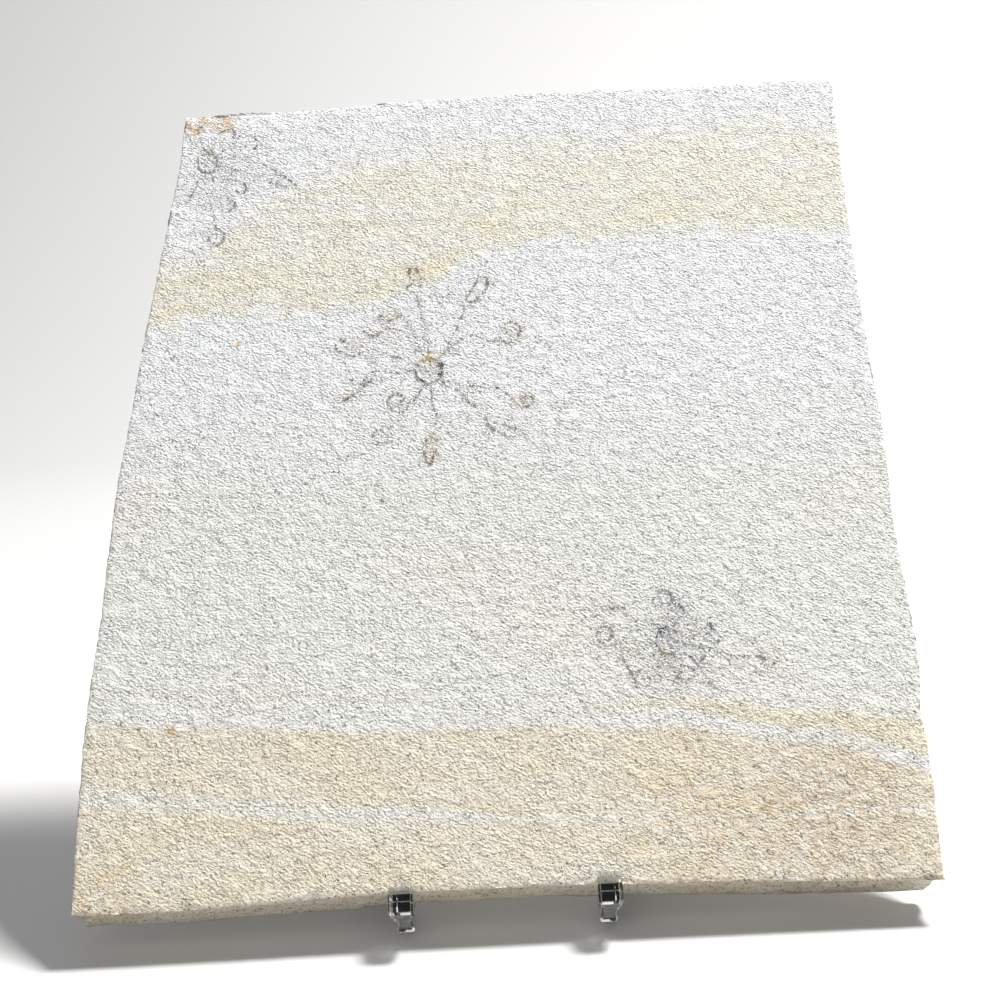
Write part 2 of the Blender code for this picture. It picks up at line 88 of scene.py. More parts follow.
sight = Vector((0, math.cos(CAMERA_TILT), -math.sin(CAMERA_TILT)))
level_right = Vector((1, 0, 0))
level_up = level_right.cross(sight)
edge_middle = on_slab(0, -1.5)
camera_place = (edge_middle - sight * SIGHT_DISTANCE - level_right * EDGE_RIGHT_OF_SIGHT
                - level_up * EDGE_ABOVE_SIGHT)
rolled_right = level_right * math.cos(CAMERA_ROLL) - level_up * math.sin(CAMERA_ROLL)
rolled_up = level_up * math.cos(CAMERA_ROLL) + level_right * math.sin(CAMERA_ROLL)

camera_data = bpy.data.cameras.new("camera")
camera_data.sensor_width = SENSOR_WIDTH
camera_data.lens = SENSOR_WIDTH * FOCAL_PIXELS / FRAME_PIXELS
camera_data.clip_start = 0.01
camera = bpy.data.objects.new("camera", camera_data)
bpy.context.collection.objects.link(camera)
turn = Matrix((rolled_right, rolled_up, -sight)).transposed().to_4x4()
camera.matrix_world = Matrix.Translation(camera_place) @ turn
bpy.context.scene.camera = camera
print("camera at", [round(c, 3) for c in camera_place], "lens", round(camera_data.lens, 1))

# %% [markdown]
# ## Floor and light
# A studio sweep is a sheet that lies flat, then curves up behind the object, so no horizon
# shows. One soft light from above rakes down the leaning face and picks out its grain;
# a weak one from the front opens the shadows.

# %% Floor, lamps and the room's own light
FLOOR_COLOUR = (0.60, 0.595, 0.585, 1)


def sweep(depth_behind=0.75, curve_radius=0.5, wall=1.6, half_width=2.4, steps=14):
    """A floor that curves up into a wall behind the object."""
    profile = [(-2.0, 0.0), (depth_behind, 0.0)]
    for k in range(1, steps + 1):
        angle = math.pi / 2 * k / steps
        profile.append((depth_behind + curve_radius * math.sin(angle),
                        curve_radius * (1 - math.cos(angle))))
    profile.append((depth_behind + curve_radius, wall))
    corners = [(side * half_width, y, z) for y, z in profile for side in (-1, 1)]
    faces = [(2 * k, 2 * k + 1, 2 * k + 3, 2 * k + 2) for k in range(len(profile) - 1)]
    mesh = bpy.data.meshes.new("floor")
    mesh.from_pydata(corners, [], faces)
    mesh.shade_smooth()
    floor = bpy.data.objects.new("floor", mesh)
    bpy.context.collection.objects.link(floor)
    return floor


def soft_lamp(name, place, aim, size, watts, colour):
    """A square lamp of `size` metres at `place` that faces `aim`."""
    lamp = bpy.data.lights.new(name, "AREA")
    lamp.size = size
    lamp.energy = watts
    lamp.color = colour
    holder = bpy.data.objects.new(name, lamp)
    holder.location = place
    holder.rotation_euler = (Vector(aim) - Vector(place)).to_track_quat("-Z", "Y").to_euler()
    bpy.context.collection.objects.link(holder)


floor = sweep()
floor_paint = bpy.data.materials.new("pale floor")
floor_paint.use_nodes = True
floor_shader = floor_paint.node_tree.nodes["Principled BSDF"]
floor_shader.inputs["Base Color"].default_value = FLOOR_COLOUR
floor_shader.inputs["Roughness"].default_value = 0.7
floor.data.materials.append(floor_paint)

slab_middle = on_slab(0, 95)
soft_lamp("raking lamp", (0.68, 0.33, 1.46), slab_middle, 0.38, 47.0, (1.0, 0.995, 0.98))
soft_lamp("front lamp", (-0.35, -0.75, 0.45), slab_middle, 0.6, 0.8, (0.98, 0.99, 1.0))

room = bpy.data.worlds.new("room")
room.use_nodes = True
room.node_tree.nodes["Background"].inputs["Color"].default_value = (0.9, 0.93, 1.0, 1)
room.node_tree.nodes["Background"].inputs["Strength"].default_value = 0.35
bpy.context.scene.world = room
bpy.context.scene.view_settings.view_transform = "Standard"
print("floor, two lamps and the room's light are set")

# %% [markdown]
# ## Helpers for lines on the slab
# Natural outlines are given by a few points each. `flowing` runs a smooth line through them, and
# `spaced` walks along a line in equal steps, which keeps mesh cells and arm plates even.

# %% Lines and noise


def flowing(points, step):
    """A smooth line through the points, sampled about every `step` millimetres."""
    ends = [points[0]] + list(points) + [points[-1]]
    line = []
    for a, b, c, d in zip(ends, ends[1:], ends[2:], ends[3:]):
        parts = max(1, round(math.dist(b, c) / step))
        for k in range(parts):
            t = k / parts
            line.append(tuple(
                0.5 * (2 * q + (r - p) * t + (2 * p - 5 * q + 4 * r - s) * t ** 2
                       + (3 * q - p - 3 * r + s) * t ** 3)
                for p, q, r, s in zip(a, b, c, d)))
    return line + [tuple(points[-1])]


def spaced(points, count):
    """`count` points at equal steps along the line, both ends included."""
    line = np.array(points, dtype=float)
    reach = np.concatenate([[0], np.cumsum(np.linalg.norm(np.diff(line, axis=0), axis=1))])
    stops = np.linspace(0, reach[-1], count)
    return np.stack([np.interp(stops, reach, line[:, k]) for k in range(line.shape[1])], axis=1)


def rough(x, y, z=0.0, size=1.0, octaves=3):
    """Smooth noise between about -1 and 1, with lumps of about `size` millimetres."""
    place = Vector((x / size, y / size, z / size))
    return noise.fractal(place, 0.9, 2.1, octaves, noise_basis="PERLIN_ORIGINAL")


print("a line of 3 points becomes", len(flowing([(0, 0), (5, 5), (10, 0)], 0.5)), "points")

# %% [markdown]
# ## The stone's shape
# Lithographic limestone splits in flat sheets and breaks across them with a rough, layered edge.
# A box with noise would wave in the wrong places, so the face is a sheet of cells stretched
# between its four broken edges (a Coons patch), and the edge is built as rings that step in and
# out down the thickness. The rings halve their number of points twice on the way down, which
# leaves the triangles for the face, where the light rakes.

# %% The slab's outline, in its own millimetres
BOTTOM_EDGE = [(-75.5, -0.6), (-65, -1.0), (-52, -0.8), (-34, -0.2), (-19, 0.2), (0, 0.2),
               (12, 0.1), (26, -0.4), (42, -0.9), (57, -1.6), (75.0, -2.3)]
RIGHT_EDGE = [(75.0, -2.3), (75.5, 6.5), (76.3, 14.5), (76.6, 24), (76.4, 29.3), (77.8, 36),
              (78.1, 43.5), (78.2, 58.5), (78.4, 70), (79.5, 81.5), (80, 93), (80, 105.5),
              (80.3, 118.5), (81.2, 138.5), (82.4, 159.7), (83.2, 174.7), (84.1, 184.3)]
TOP_EDGE = [(-66, 183.0), (-53, 183.6), (-43, 183.3), (-31, 183.6), (-20, 184.4), (-8, 184.8),
            (9, 185), (27, 185.1), (44, 184.4), (57, 184.6), (73, 184.7), (84.1, 184.3)]
LEFT_EDGE = [(-75.5, -0.6), (-75.6, 4), (-75.9, 14), (-76.2, 30), (-75.9, 41.2), (-75, 56.4),
             (-74.9, 67), (-74.2, 85.5), (-72.6, 102), (-71.6, 117), (-70.1, 133.3),
             (-68, 153.5), (-66.5, 168.5), (-66.4, 176), (-66, 183.0)]
CELLS_ACROSS = 248
CELLS_UP = 288


def stretched_sheet(bottom, top, left, right):
    """A grid of points between four edges; rows go up, columns across."""
    across = np.linspace(0, 1, len(bottom))[None, :, None]
    up = np.linspace(0, 1, len(left))[:, None, None]
    between_rows = (1 - up) * bottom[None] + up * top[None]
    between_sides = (1 - across) * left[:, None] + across * right[:, None]
    corners = ((1 - across) * (1 - up) * bottom[0] + across * (1 - up) * bottom[-1]
               + (1 - across) * up * top[0] + across * up * top[-1])
    return between_rows + between_sides - corners


face_grid = stretched_sheet(spaced(BOTTOM_EDGE, CELLS_ACROSS + 1), spaced(TOP_EDGE, CELLS_ACROSS + 1),
                            spaced(LEFT_EDGE, CELLS_UP + 1), spaced(RIGHT_EDGE, CELLS_UP + 1))
print("face grid", face_grid.shape, "points")

# %% [markdown]
# ## Where the crinoids lie
# Each arm is a handful of points in millimetres from the middle of its cup. The stone needs
# these too: it is a little swollen around every arm, because the fossil lies in it, and greyer
# there, from grey dust specks and from painted shade beside the arm.
# The rows called rust, gold, dark and cloud are marks: across, up, reach and strength.

# %% The three crinoids
CRINOIDS = {
    "crinoid_middle": dict(
        centre=(-11.1, 108.9), cup=(3.3, 3.9),
        dark_side=0, cloud=[(0, 0, 5, 0.3)],
        rust=[(19.8, -8.8, 1.7, 0.8), (17.5, 7.9, 2.4, 0.6), (18.3, 7.1, 1.5, 0.5), (0.3, -17.5, 1.6, 0.8),
              (-0.4, -20.7, 1.6, 0.7), (-6.8, -7.6, 2, 0.4), (-16.5, -6, 2, 0.6), (-15.5, 6.9, 3, 0.45),
              (-8.7, 14, 1.9, 0.75), (-6.6, 15.2, 1, 0.7), (0.5, 18.4, 0.7, 1), (4.6, 18.4, 0.7, 1),
              (-1.6, 17.2, 0.9, 0.6), (-8.1, 11.1, 0.8, 0.9), (-7.9, 7.7, 1.1, 0.8),
              (-11.3, 9.8, 1.2, 0.6), (-2.5, 26.1, 1.7, 0.4), (8.4, 17.4, 1.3, 0.6),
              (12.2, 22.2, 1.5, 0.35), (-4, 14.7, 0.8, 0.6), (3.3, 3.7, 1.1, 0.6), (5.4, 4.1, 0.9, 0.5),
              (-3.2, 1.6, 0.9, 0.9), (6.9, -7, 1.2, 0.4), (10.4, 8.6, 0.6, 0.8)],
        gold=[(0, 2.9, 1.5, 1), (-1.1, 2.5, 0.9, 0.8)],
        dark=[(2.5, 0.9, 1.6, 1.05), (2.3, -1.4, 1.5, 1.05), (1.3, -3.7, 0.7, 0.9), (1, 1.6, 0.6, 0.7),
              (-2.8, -0.9, 0.8, 1), (-1.6, -2.8, 0.9, 1), (-3.6, 0.4, 0.6, 0.7), (6.5, 11.2, 0.5, 1),
              (14.8, -14.3, 1, 1), (12.7, -15.1, 1, 0.7), (-11.8, -8.8, 0.8, 0.7), (16.2, 2.4, 0.6, 0.8),
              (11.1, -11.4, 0.8, 0.8)],
        arms=[
            [(1.5, -2), (6.2, -4), (10.3, -4.8), (14, -5.5), (16, -7.1), (17.7, -9.4), (19.3, -10.2),
             (20.7, -9.8), (21, -8.1), (19.8, -7.6), (18.6, -8.5), (19.1, -9.5)],
            [(1.4, -2.1), (5.1, -4.9), (6.7, -6.3), (8.1, -8.6), (9.7, -9.6), (10.9, -11.4), (12.1, -14.9),
             (13.9, -16.2), (15.9, -17.5)],
            [(11.8, -13.4), (13.4, -14), (16.2, -15.1), (19.2, -16)],
            [(0.2, -2.6), (0.4, -6.4), (0.5, -8.8), (1.3, -11.5), (0.6, -15.6), (1.3, -17.3), (0.4, -21.2),
             (-0.4, -22.8), (-1.2, -21.1), (-1.3, -19), (-0.9, -16.9), (0.1, -16.5)],
            [(-0.7, -2.5), (-2.1, -5.5), (-4.4, -8.7), (-5.6, -9.9), (-7.1, -9.8), (-8.3, -8.5), (-8.7, -7),
             (-7.8, -5.8), (-6.4, -5.7), (-5.4, -6.7), (-6.2, -7.9)],
            [(-4.4, -8.7), (-5.9, -11.1), (-8.7, -14.3), (-8.6, -16), (-9.4, -17.1), (-10.6, -17),
             (-11.6, -15.8), (-11.4, -14.4), (-10.2, -14), (-9.4, -15)],
            [(-2.2, 0.4), (-5.3, 0), (-7.2, -0.4), (-9.4, 0.5), (-11.5, 0.4), (-13.4, -1), (-13.2, -2.8),
             (-16.5, -1.3)],
            [(-9.4, 0.5), (-11.5, -1.4), (-15.3, -4.9), (-18.5, -6.9)],
            [(-1.9, 1.3), (-5.7, 3.3), (-7.7, 3.9), (-10.2, 5.3), (-12.8, 6), (-15.9, 4.4), (-17.8, 5.6),
             (-19.2, 6.4), (-19.5, 7.7)],
            [(-12.8, 6), (-15.7, 7.2), (-18.6, 8.9)],
            [(-1.3, 2.2), (-4.3, 8.5), (-6, 10.4), (-8.1, 11.1), (-9.8, 10.4), (-11.7, 9.5), (-13.8, 10.9)],
            [(-0.8, 2.5), (-3.9, 11.3), (-5.7, 14.6), (-6.8, 13.6), (-8.5, 13.2), (-10, 14.6), (-10.8, 13.4)],
            [(0.1, 2.6), (-0.3, 8), (-0.9, 12.7), (-2.2, 19.1), (-1.3, 20.9), (-1.3, 23.6), (-2.1, 26.4),
             (-3.4, 27), (-3.6, 24.8), (-2.6, 23.2), (-4.1, 21.9), (-3.7, 20.3)],
            [(1.1, 2.3), (4.9, 7.7), (7.6, 14.3), (7.9, 16.9), (10.3, 21.5), (11.4, 23.3), (12.9, 23),
             (12.8, 20.5), (11.4, 18.5), (9.9, 17), (8.6, 17.1)],
            [(1.4, 2.1), (3.8, 4.7), (7.4, 7.8), (9.5, 8.2), (12, 6.7), (14.9, 6.5), (17, 6.1), (18.5, 6.8),
             (19.4, 8.6), (18.9, 10.4), (17.5, 11.3), (16.1, 10.1), (16.7, 8.2)],
        ]),
    "crinoid_top_left": dict(
        centre=(-59.9, 168.9), cup=(2.6, 3.6),
        dark_side=45, cloud=[(3, -3, 7, 0.7), (10, -4, 6, 0.6), (3, -11, 4.5, 0.6)],
        rust=[(-1.6, 3.1, 1, 0.5), (0.2, 3, 1, 0.6)],
        gold=[(3.5, 11, 0.8, 0.6), (4.9, 10.6, 1, 0.7)],
        dark=[(3.1, -0.5, 1, 1), (2, -1.6, 1, 1), (0.7, -3.6, 0.9, 1), (-0.6, -2.9, 0.9, 0.8),
              (0.7, 2, 0.8, 0.7), (1.9, -3.4, 0.7, 0.8), (7.1, 7.7, 0.9, 0.6), (13.2, -5.7, 0.7, 0.7),
              (18.6, -4, 0.7, 0.7), (7.9, 4, 0.8, 0.6), (5.4, -11.2, 1, 0.7), (2.5, -17.6, 0.9, 0.7),
              (3.7, -23.1, 1.2, 0.5)],
        arms=[
            [(1.7, 0.7), (4.8, 1.5), (9.9, 0.5), (15.4, -3.7), (20.3, -8.2)],
            [(1.6, -0.9), (7.3, -2.9), (13.2, -5.9), (18, -8.6)],
            [(1.1, -1.9), (3.3, -5), (7.4, -6.1), (9, -8), (8.2, -9.7), (6.8, -8.7)],
            [(0.6, -2.3), (1.6, -6.6), (1.4, -8.9), (3.3, -10.8), (5.4, -11.2), (6.8, -13.1), (5.7, -14.4)],
            [(-0.3, -2.4), (-0.5, -6.8), (0.6, -10.6), (1.9, -14.7), (2.6, -18.8), (4.4, -20.6), (4.5, -22.8),
             (3, -23.9), (1.4, -22.6), (1.6, -20.7), (3.1, -21.1)],
            [(-0.9, -2.1), (-1.9, -5.5), (-3.6, -10.9)],
            [(1.4, 1.5), (5.4, 5), (6.9, 7.4), (8.7, 8.2), (10.6, 6.2), (10.9, 3.8), (9.3, 3), (8.3, 4.5)],
            [(0.3, 2.4), (1, 6), (2, 8.3), (4, 9.7), (5.7, 9), (5.5, 6.9)],
            [(-0.5, 2.3), (-2.6, 9), (-1.8, 11)],
        ]),
    "crinoid_low_right": dict(
        centre=(32.1, 45.2), cup=(2.5, 3.2),
        dark_side=140, cloud=[(0, 1, 6, 1), (-1, -6, 5, 0.9), (2, 6, 4, 0.8), (8, 1, 3.5, 0.6)],
        rust=[(1.6, 1.7, 1.0, 0.4), (2.3, -0.2, 0.8, 0.3), (-0.3, -2.3, 1.0, 0.3), (5.5, 1.2, 0.9, 0.6),
              (-10.5, 7.3, 1.5, 0.5), (18.4, -4.2, 2, 0.4), (-6.8, -1.7, 1.2, 0.5), (0, 4.4, 0.7, 0.4)],
        gold=[(-1, -2.1, 0.7, 0.5)],
        dark=[(-1.2, 2.2, 1.3, 1), (-1.2, 1.6, 1.1, 1), (-0.2, 2.8, 0.8, 0.9), (-2.2, -0.4, 0.8, 0.8),
              (0.7, -3.2, 0.9, 0.8), (-2.9, 0.5, 0.9, 0.7), (-0.8, 8.4, 1, 0.9), (-1.9, 8.9, 0.7, 0.7),
              (-5.2, 1.6, 0.9, 0.7), (-7, -2.3, 1.2, 0.6), (6.2, -2.3, 1.2, 0.4), (2.7, 5.3, 1.3, 0.4),
              (6.3, 3.4, 1.5, 0.4), (0.6, -0.9, 0.7, 0.6), (-0.7, -0.7, 0.6, 0.6), (7.3, -9.2, 0.9, 0.6),
              (2.8, -2.9, 0.9, 0.6)],
        arms=[
            [(-0.2, 2.2), (-0.7, 4.9), (-2.1, 8.3), (-1.2, 9.7), (0.4, 10.3), (1.6, 9.3), (1.5, 7.9),
             (0.1, 7.1), (-0.8, 8)],
            [(1, 1.8), (2.2, 4.1), (3.6, 5.3), (3.4, 6.7), (2.2, 7.6)],
            [(1.5, 1.1), (5.2, 3.7), (6.9, 3.6), (8.4, 2.7), (8.8, 1.2), (7.5, 0.9)],
            [(1.7, 0.3), (5.8, 0.8), (7, -0.3), (8.6, -1.2), (9.8, -0.3)],
            [(1.6, -0.7), (5.7, -1.6), (6.7, -2.9), (5.6, -4.1), (4.4, -3.4)],
            [(1.3, -1.5), (4.5, -4.4), (6.3, -7.9), (8.4, -10.6)],
            [(0.5, -2.1), (1.3, -4.6), (4.1, -6.2), (3.9, -7.6), (2.4, -8.1), (1, -7.4), (1.7, -6.5)],
            [(-0.4, -2.1), (-1.5, -4.7), (-3, -5.4), (-4.9, -5.5), (-6.4, -6), (-6, -7.2), (-4.2, -7.5),
             (-2.8, -6.8)],
            [(-1.1, -1.6), (-5.1, -3.5), (-8.8, -1.2), (-8.6, -3.3), (-7.7, -5.3), (-6, -9.4)],
            [(-1.6, -0.8), (-5.5, 0.2), (-7.3, 0.7), (-10.6, -0.5), (-12.2, 0), (-13.2, 1.7), (-12.4, 3.3),
             (-10.8, 3.4), (-10, 1.9), (-11, 0.9)],
            [(-1.6, 0.5), (-4.6, 1.6), (-5.6, 2.7), (-7, 2.1)],
            [(-1, 1.8), (-2.5, 3.9), (-3.7, 5.9), (-5.3, 6.8), (-11.8, 7.6)],
            [(1.7, -0.3), (8.2, -2.8), (12.1, -3.8), (17.1, -4.3), (16.9, -5.9), (18.1, -6.4), (19.5, -5.5)],
        ]),
}
print(sum(len(crinoid["arms"]) for crinoid in CRINOIDS.values()), "arms")

# %% [markdown]
# ## Reading the crinoids
# Stone and fossils share two questions: how far is the nearest arm, and how strong is a mark
# here? A tree of points (a k-d tree) answers the first one quickly. Marks fade out like a bell
# curve and are kept as one number for each point of a mesh, which a material can read.

# %% Nearest arm, and painted numbers


def arm_lines(crinoid, step):
    """Every arm of a crinoid as a smooth line in the slab's millimetres."""
    across, up = crinoid["centre"]
    return [[(across + x, up + y) for x, y in flowing(arm, step)] for arm in crinoid["arms"]]


arm_points = [point for crinoid in CRINOIDS.values() for line in arm_lines(crinoid, 0.3)
              for point in line]
arm_finder = kdtree.KDTree(len(arm_points))
for index, (across, up) in enumerate(arm_points):
    arm_finder.insert((across, up, 0), index)
arm_finder.balance()


def marks_over(places, kind):
    """How strongly each place on the slab carries one kind of mark, from 0 to 1."""
    strength = np.zeros(len(places))
    for crinoid in CRINOIDS.values():
        middle = np.array(crinoid["centre"])
        for across, up, reach, most in crinoid[kind]:
            apart = np.linalg.norm(places - middle - (across, up), axis=1)
            strength = np.maximum(strength, most * np.exp(-(apart / reach) ** 2))
    return strength


def paint(mesh, name, values):
    """Keeps one number for each point of the mesh, for the material to read."""
    numbers = mesh.attributes.new(name, "FLOAT", "POINT")
    numbers.data.foreach_set("value", np.asarray(values, dtype=np.float32))


print(len(arm_points), "points along all the arms")

# %% [markdown]
# ## The face's relief
# The face isn't quite flat: broad swells a tenth of a millimetre high, small lumps, a low bed
# under every arm and a crumbled rim with a few chips. The finest grain is left to the material,
# whose bump has no triangles to pay for.

# %% The face
CELL_SIZE = 0.65                    # about how wide a cell of the face is, in millimetres
SWELL, LUMP, BED = 0.10, 0.035, 0.05            # heights in millimetres
CRUMBLED, CHIPPED, FLAKED = 0.16, 0.5, 0.35     # depths in millimetres
FLAKE_LEFT, FLAKE_RIGHT, FLAKE_FOOT = -60, -43, 182.2


def face_relief(across, up, rim):
    """Height of the face over its flat plane, `rim` being the distance to the broken edge."""
    swell = SWELL * rough(across, up, 3.0, size=26, octaves=2)
    small = LUMP * rough(across * 0.7, up, 9.0, size=3.4, octaves=2)
    near_arm = arm_finder.find((across, up, 0))[2]
    bed = BED * math.exp(-near_arm ** 2)
    crumble = -CRUMBLED * math.exp(-rim / 0.9) * (1 + 0.8 * rough(across, up, 5.0, size=2.2))
    chips = rough(across, up, 21.0, size=4.5)
    chip = -CHIPPED * max(0.0, chips - 0.25) * math.exp(-rim / 1.6)
    flake = 0.0
    if FLAKE_LEFT < across < FLAKE_RIGHT and up > FLAKE_FOOT:
        flake = (-FLAKED * min(1, (across - FLAKE_LEFT) / 2, (FLAKE_RIGHT - across) / 3)
                 * min(1, (up - FLAKE_FOOT) / 0.4))
    return swell + small + bed + crumble + chip + flake


def around(grid):
    """Row and column numbers of a grid's border, walked once round from its first corner."""
    rows, columns = grid.shape[0] - 1, grid.shape[1] - 1
    return ([(0, c) for c in range(columns)] + [(r, columns) for r in range(rows)]
            + [(rows, c) for c in range(columns, 0, -1)] + [(r, 0) for r in range(rows, 0, -1)])


def outline_normals(ring):
    """For each point of a closed outline, the direction that points away from the stone."""
    along = np.roll(ring, -1, axis=0) - np.roll(ring, 1, axis=0)
    along /= np.linalg.norm(along, axis=1)[:, None]
    return np.stack([along[:, 1], -along[:, 0]], axis=1)


def front_sheet(border, outline, outward):
    """The face: its points with their relief, and its cells as corner numbers."""
    moved = face_grid.copy()
    for (r, c), (x, y), (nx, ny) in zip(border, outline, outward):
        back = 0.30 + 0.28 * rough(x, y, 1.0, size=3.0)
        moved[r, c] = (x - nx * back, y - ny * back)
    points = []
    for r in range(CELLS_UP + 1):
        for c in range(CELLS_ACROSS + 1):
            x, y = moved[r, c]
            rim = min(r, CELLS_UP - r, c, CELLS_ACROSS - c) * CELL_SIZE
            points.append((x, y, face_relief(x, y, rim)))
    stride = CELLS_ACROSS + 1
    faces = [(first, first + 1, first + stride + 1, first + stride)
             for r in range(CELLS_UP) for first in range(r * stride, r * stride + CELLS_ACROSS)]
    return points, faces


print("relief in the middle of the face:", round(face_relief(0, 90, 60), 3), "mm")

# %% [markdown]
# ## The broken edge
# Each layer of the rock broke at its own place, so the edge steps in and out down the thickness.
# It is a stack of rings round the slab, joined by strips of cells. Where the next ring has half
# as many points, a triangle is put beside every other cell.

# %% Rings down the thickness
RIM_DEPTHS = [0.0, 0.22, 0.7, 1.7, 2.9, 3.6, 4.6, 6.2, 7.2, 8.6, 9.6, 10.0]
RIM_STEP_BACK = [0.45, 0.10, 0.05, 0.15, 0.25, 0.55, 0.50, 0.40, 0.10, 0.25, 0.35, 0.75]
HALVED_AFTER = (3, 7)               # rings after which the next ring has half as many points
BROKEN_BACK = 1.1                   # how far the stone has broken away inside its outline, at most
RIGHT_UNDERCUT = 2.1                # how far the right side slopes in by the time it is at the back
CRUMB = 0.16


def broken_edge(points, faces, ring, outline, outward):
    """Adds the rings under the face to points and faces, and returns the last ring's numbers."""
    for level in range(1, len(RIM_DEPTHS)):
        depth = RIM_DEPTHS[level]
        halve = level - 1 in HALVED_AFTER
        if halve:
            outline, outward = outline[::2], outward[::2]
        new_ring = []
        for (x, y), (nx, ny) in zip(outline, outward):
            broken = BROKEN_BACK * (0.5 + 0.5 * rough(x, y, depth * 6, size=16, octaves=4))
            undercut = RIGHT_UNDERCUT * max(0.0, nx) * depth / SLAB_THICKNESS
            crumbs = CRUMB * rough(x, y, depth, size=1.5)
            back = max(0.0, RIM_STEP_BACK[level] + broken * min(1, depth / 1.5) + crumbs) + undercut
            new_ring.append(len(points))
            points.append((x - nx * back, y - ny * back, -depth))
        count = len(new_ring)
        for k in range(count):
            after = (k + 1) % count
            if halve:
                mid, last = ring[2 * k + 1], ring[(2 * k + 2) % len(ring)]
                faces.append((ring[2 * k], new_ring[k], mid))
                faces.append((mid, new_ring[k], new_ring[after], last))
            else:
                faces.append((ring[k], new_ring[k], new_ring[after], ring[after]))
        ring = new_ring
    return ring


print(len(RIM_DEPTHS), "rings, the lowest", RIM_DEPTHS[-1], "mm under the face")

# %% [markdown]
# ## The back, and the stone as one piece
# The back is another bedding face, so it is a sheet like the front, with a quarter of the cells
# each way and low swells. It shares its border with the last ring, which closes the mesh. Then
# the marks are painted on as numbers, and the slab is leaned back into the room.

# %% Build the stone
BACK_SWELL, BACK_LUMP = 0.16, 0.08
# beside an arm the grey is dust specks and partly painted shade
HALO_STRENGTH, HALO_REACH = 0.5, 1.1            # the grey beside an arm; its reach in millimetres


def close_back(points, faces, ring):
    """Adds the sheet at the back, whose border is the last ring."""
    columns, rows = CELLS_ACROSS // 4, CELLS_UP // 4
    outer = np.array([points[i][:2] for i in ring])
    low = outer[:columns + 1]
    right = outer[columns:columns + rows + 1]
    high = outer[columns + rows:2 * columns + rows + 1][::-1]
    left = np.concatenate([outer[2 * columns + rows:], outer[:1]])[::-1]
    back_grid = stretched_sheet(low, high, left, right)
    numbers = dict(zip(around(back_grid), ring))
    for r in range(rows + 1):
        for c in range(columns + 1):
            if (r, c) not in numbers:
                x, y = back_grid[r, c]
                numbers[r, c] = len(points)
                swell = BACK_SWELL * rough(x, y, 40, size=22) + BACK_LUMP * rough(x, y, 50, size=6)
                points.append((x, y, -SLAB_THICKNESS + swell))
    for r in range(rows):
        for c in range(columns):
            faces.append((numbers[r, c], numbers[r + 1, c], numbers[r + 1, c + 1], numbers[r, c + 1]))


def build_stone():
    border = around(face_grid)
    outline = np.array([face_grid[r, c] for r, c in border])
    outward = outline_normals(outline)
    points, faces = front_sheet(border, outline, outward)
    ring = [r * (CELLS_ACROSS + 1) + c for r, c in border]
    ring = broken_edge(points, faces, ring, outline, outward)
    close_back(points, faces, ring)
    mesh = bpy.data.meshes.new("limestone")
    mesh.from_pydata(points, [], faces)
    places = np.array(points)
    on_face = (places[:, 2] > -1.0).astype(float)
    for kind in ("rust", "gold", "dark"):
        paint(mesh, kind, marks_over(places[:, :2], kind) * on_face)
    # halo: how grey the stone is beside an arm (partly painted shade) and in the dust clouds
    nearest = np.array([arm_finder.find((x, y, 0))[2] for x, y, _ in points])
    halo = HALO_STRENGTH * np.exp(-(nearest / HALO_REACH) ** 2)
    paint(mesh, "halo", np.maximum(halo, marks_over(places[:, :2], "cloud")) * on_face)
    mesh.transform(slab_to_room)
    mesh.shade_smooth()
    stone = bpy.data.objects.new("limestone", mesh)
    bpy.context.collection.objects.link(stone)
    return stone


stone = build_stone()
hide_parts("limestone_slab")
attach(stone, "root")
print("stone:", len(stone.data.polygons), "faces")

# %% [markdown]
# ## Small tools for materials
# A material is a tree of nodes. `add` makes one node and wires it up in a line, `calc` is one
# sum, and `blend_colour` mixes two colours. The trees below then read like recipes.

# %% Node tools


def add(tree, kind, inputs=None, **settings):
    """A new node; each input is given another node's socket, or a plain value."""
    made = tree.nodes.new(kind)
    for key, value in settings.items():
        setattr(made, key, value)
    for key, value in (inputs or {}).items():
        if isinstance(value, bpy.types.NodeSocket):
            tree.links.new(value, made.inputs[key])
        else:
            made.inputs[key].default_value = value
    return made


def calc(tree, operation, a, b=0.0, c=0.0):
    return add(tree, "ShaderNodeMath", {0: a, 1: b, 2: c}, operation=operation).outputs[0]


def ramp(tree, value, low, high, to_low=0.0, to_high=1.0):
    """A smooth step from `to_low` at `low` to `to_high` at `high`."""
    made = add(tree, "ShaderNodeMapRange", {"Value": value, "From Min": low, "From Max": high,
                                            "To Min": to_low, "To Max": to_high},
               interpolation_type="SMOOTHSTEP")
    return made.outputs["Result"]


def blend_colour(tree, amount, colour_a, colour_b, way="MIX"):
    """The first colour, going over to the second one as `amount` goes from 0 to 1."""
    made = add(tree, "ShaderNodeMix", {0: amount, 6: colour_a, 7: colour_b},
               data_type="RGBA", blend_type=way, clamp_factor=True)
    return made.outputs[2]


def grey(tree, value):
    return add(tree, "ShaderNodeCombineColor", {0: value, 1: value, 2: value}).outputs[0]


def lumps(tree, where, size, detail=2.0, roughness=0.5, stretch=(1, 1, 1), turn=0.0, distortion=0.0):
    """Noise from 0 to 1 whose lumps are about `size` millimetres, stretched along the slab."""
    scale = [1 / (size * s) for s in stretch]
    mapped = add(tree, "ShaderNodeMapping", {"Vector": where, "Rotation": (0, 0, turn)})
    placed = add(tree, "ShaderNodeMapping", {"Vector": mapped.outputs[0], "Scale": scale})
    made = add(tree, "ShaderNodeTexNoise", {"Vector": placed.outputs[0], "Scale": 1.0,
                                            "Detail": detail, "Roughness": roughness,
                                            "Distortion": distortion})
    return made.outputs["Fac"]


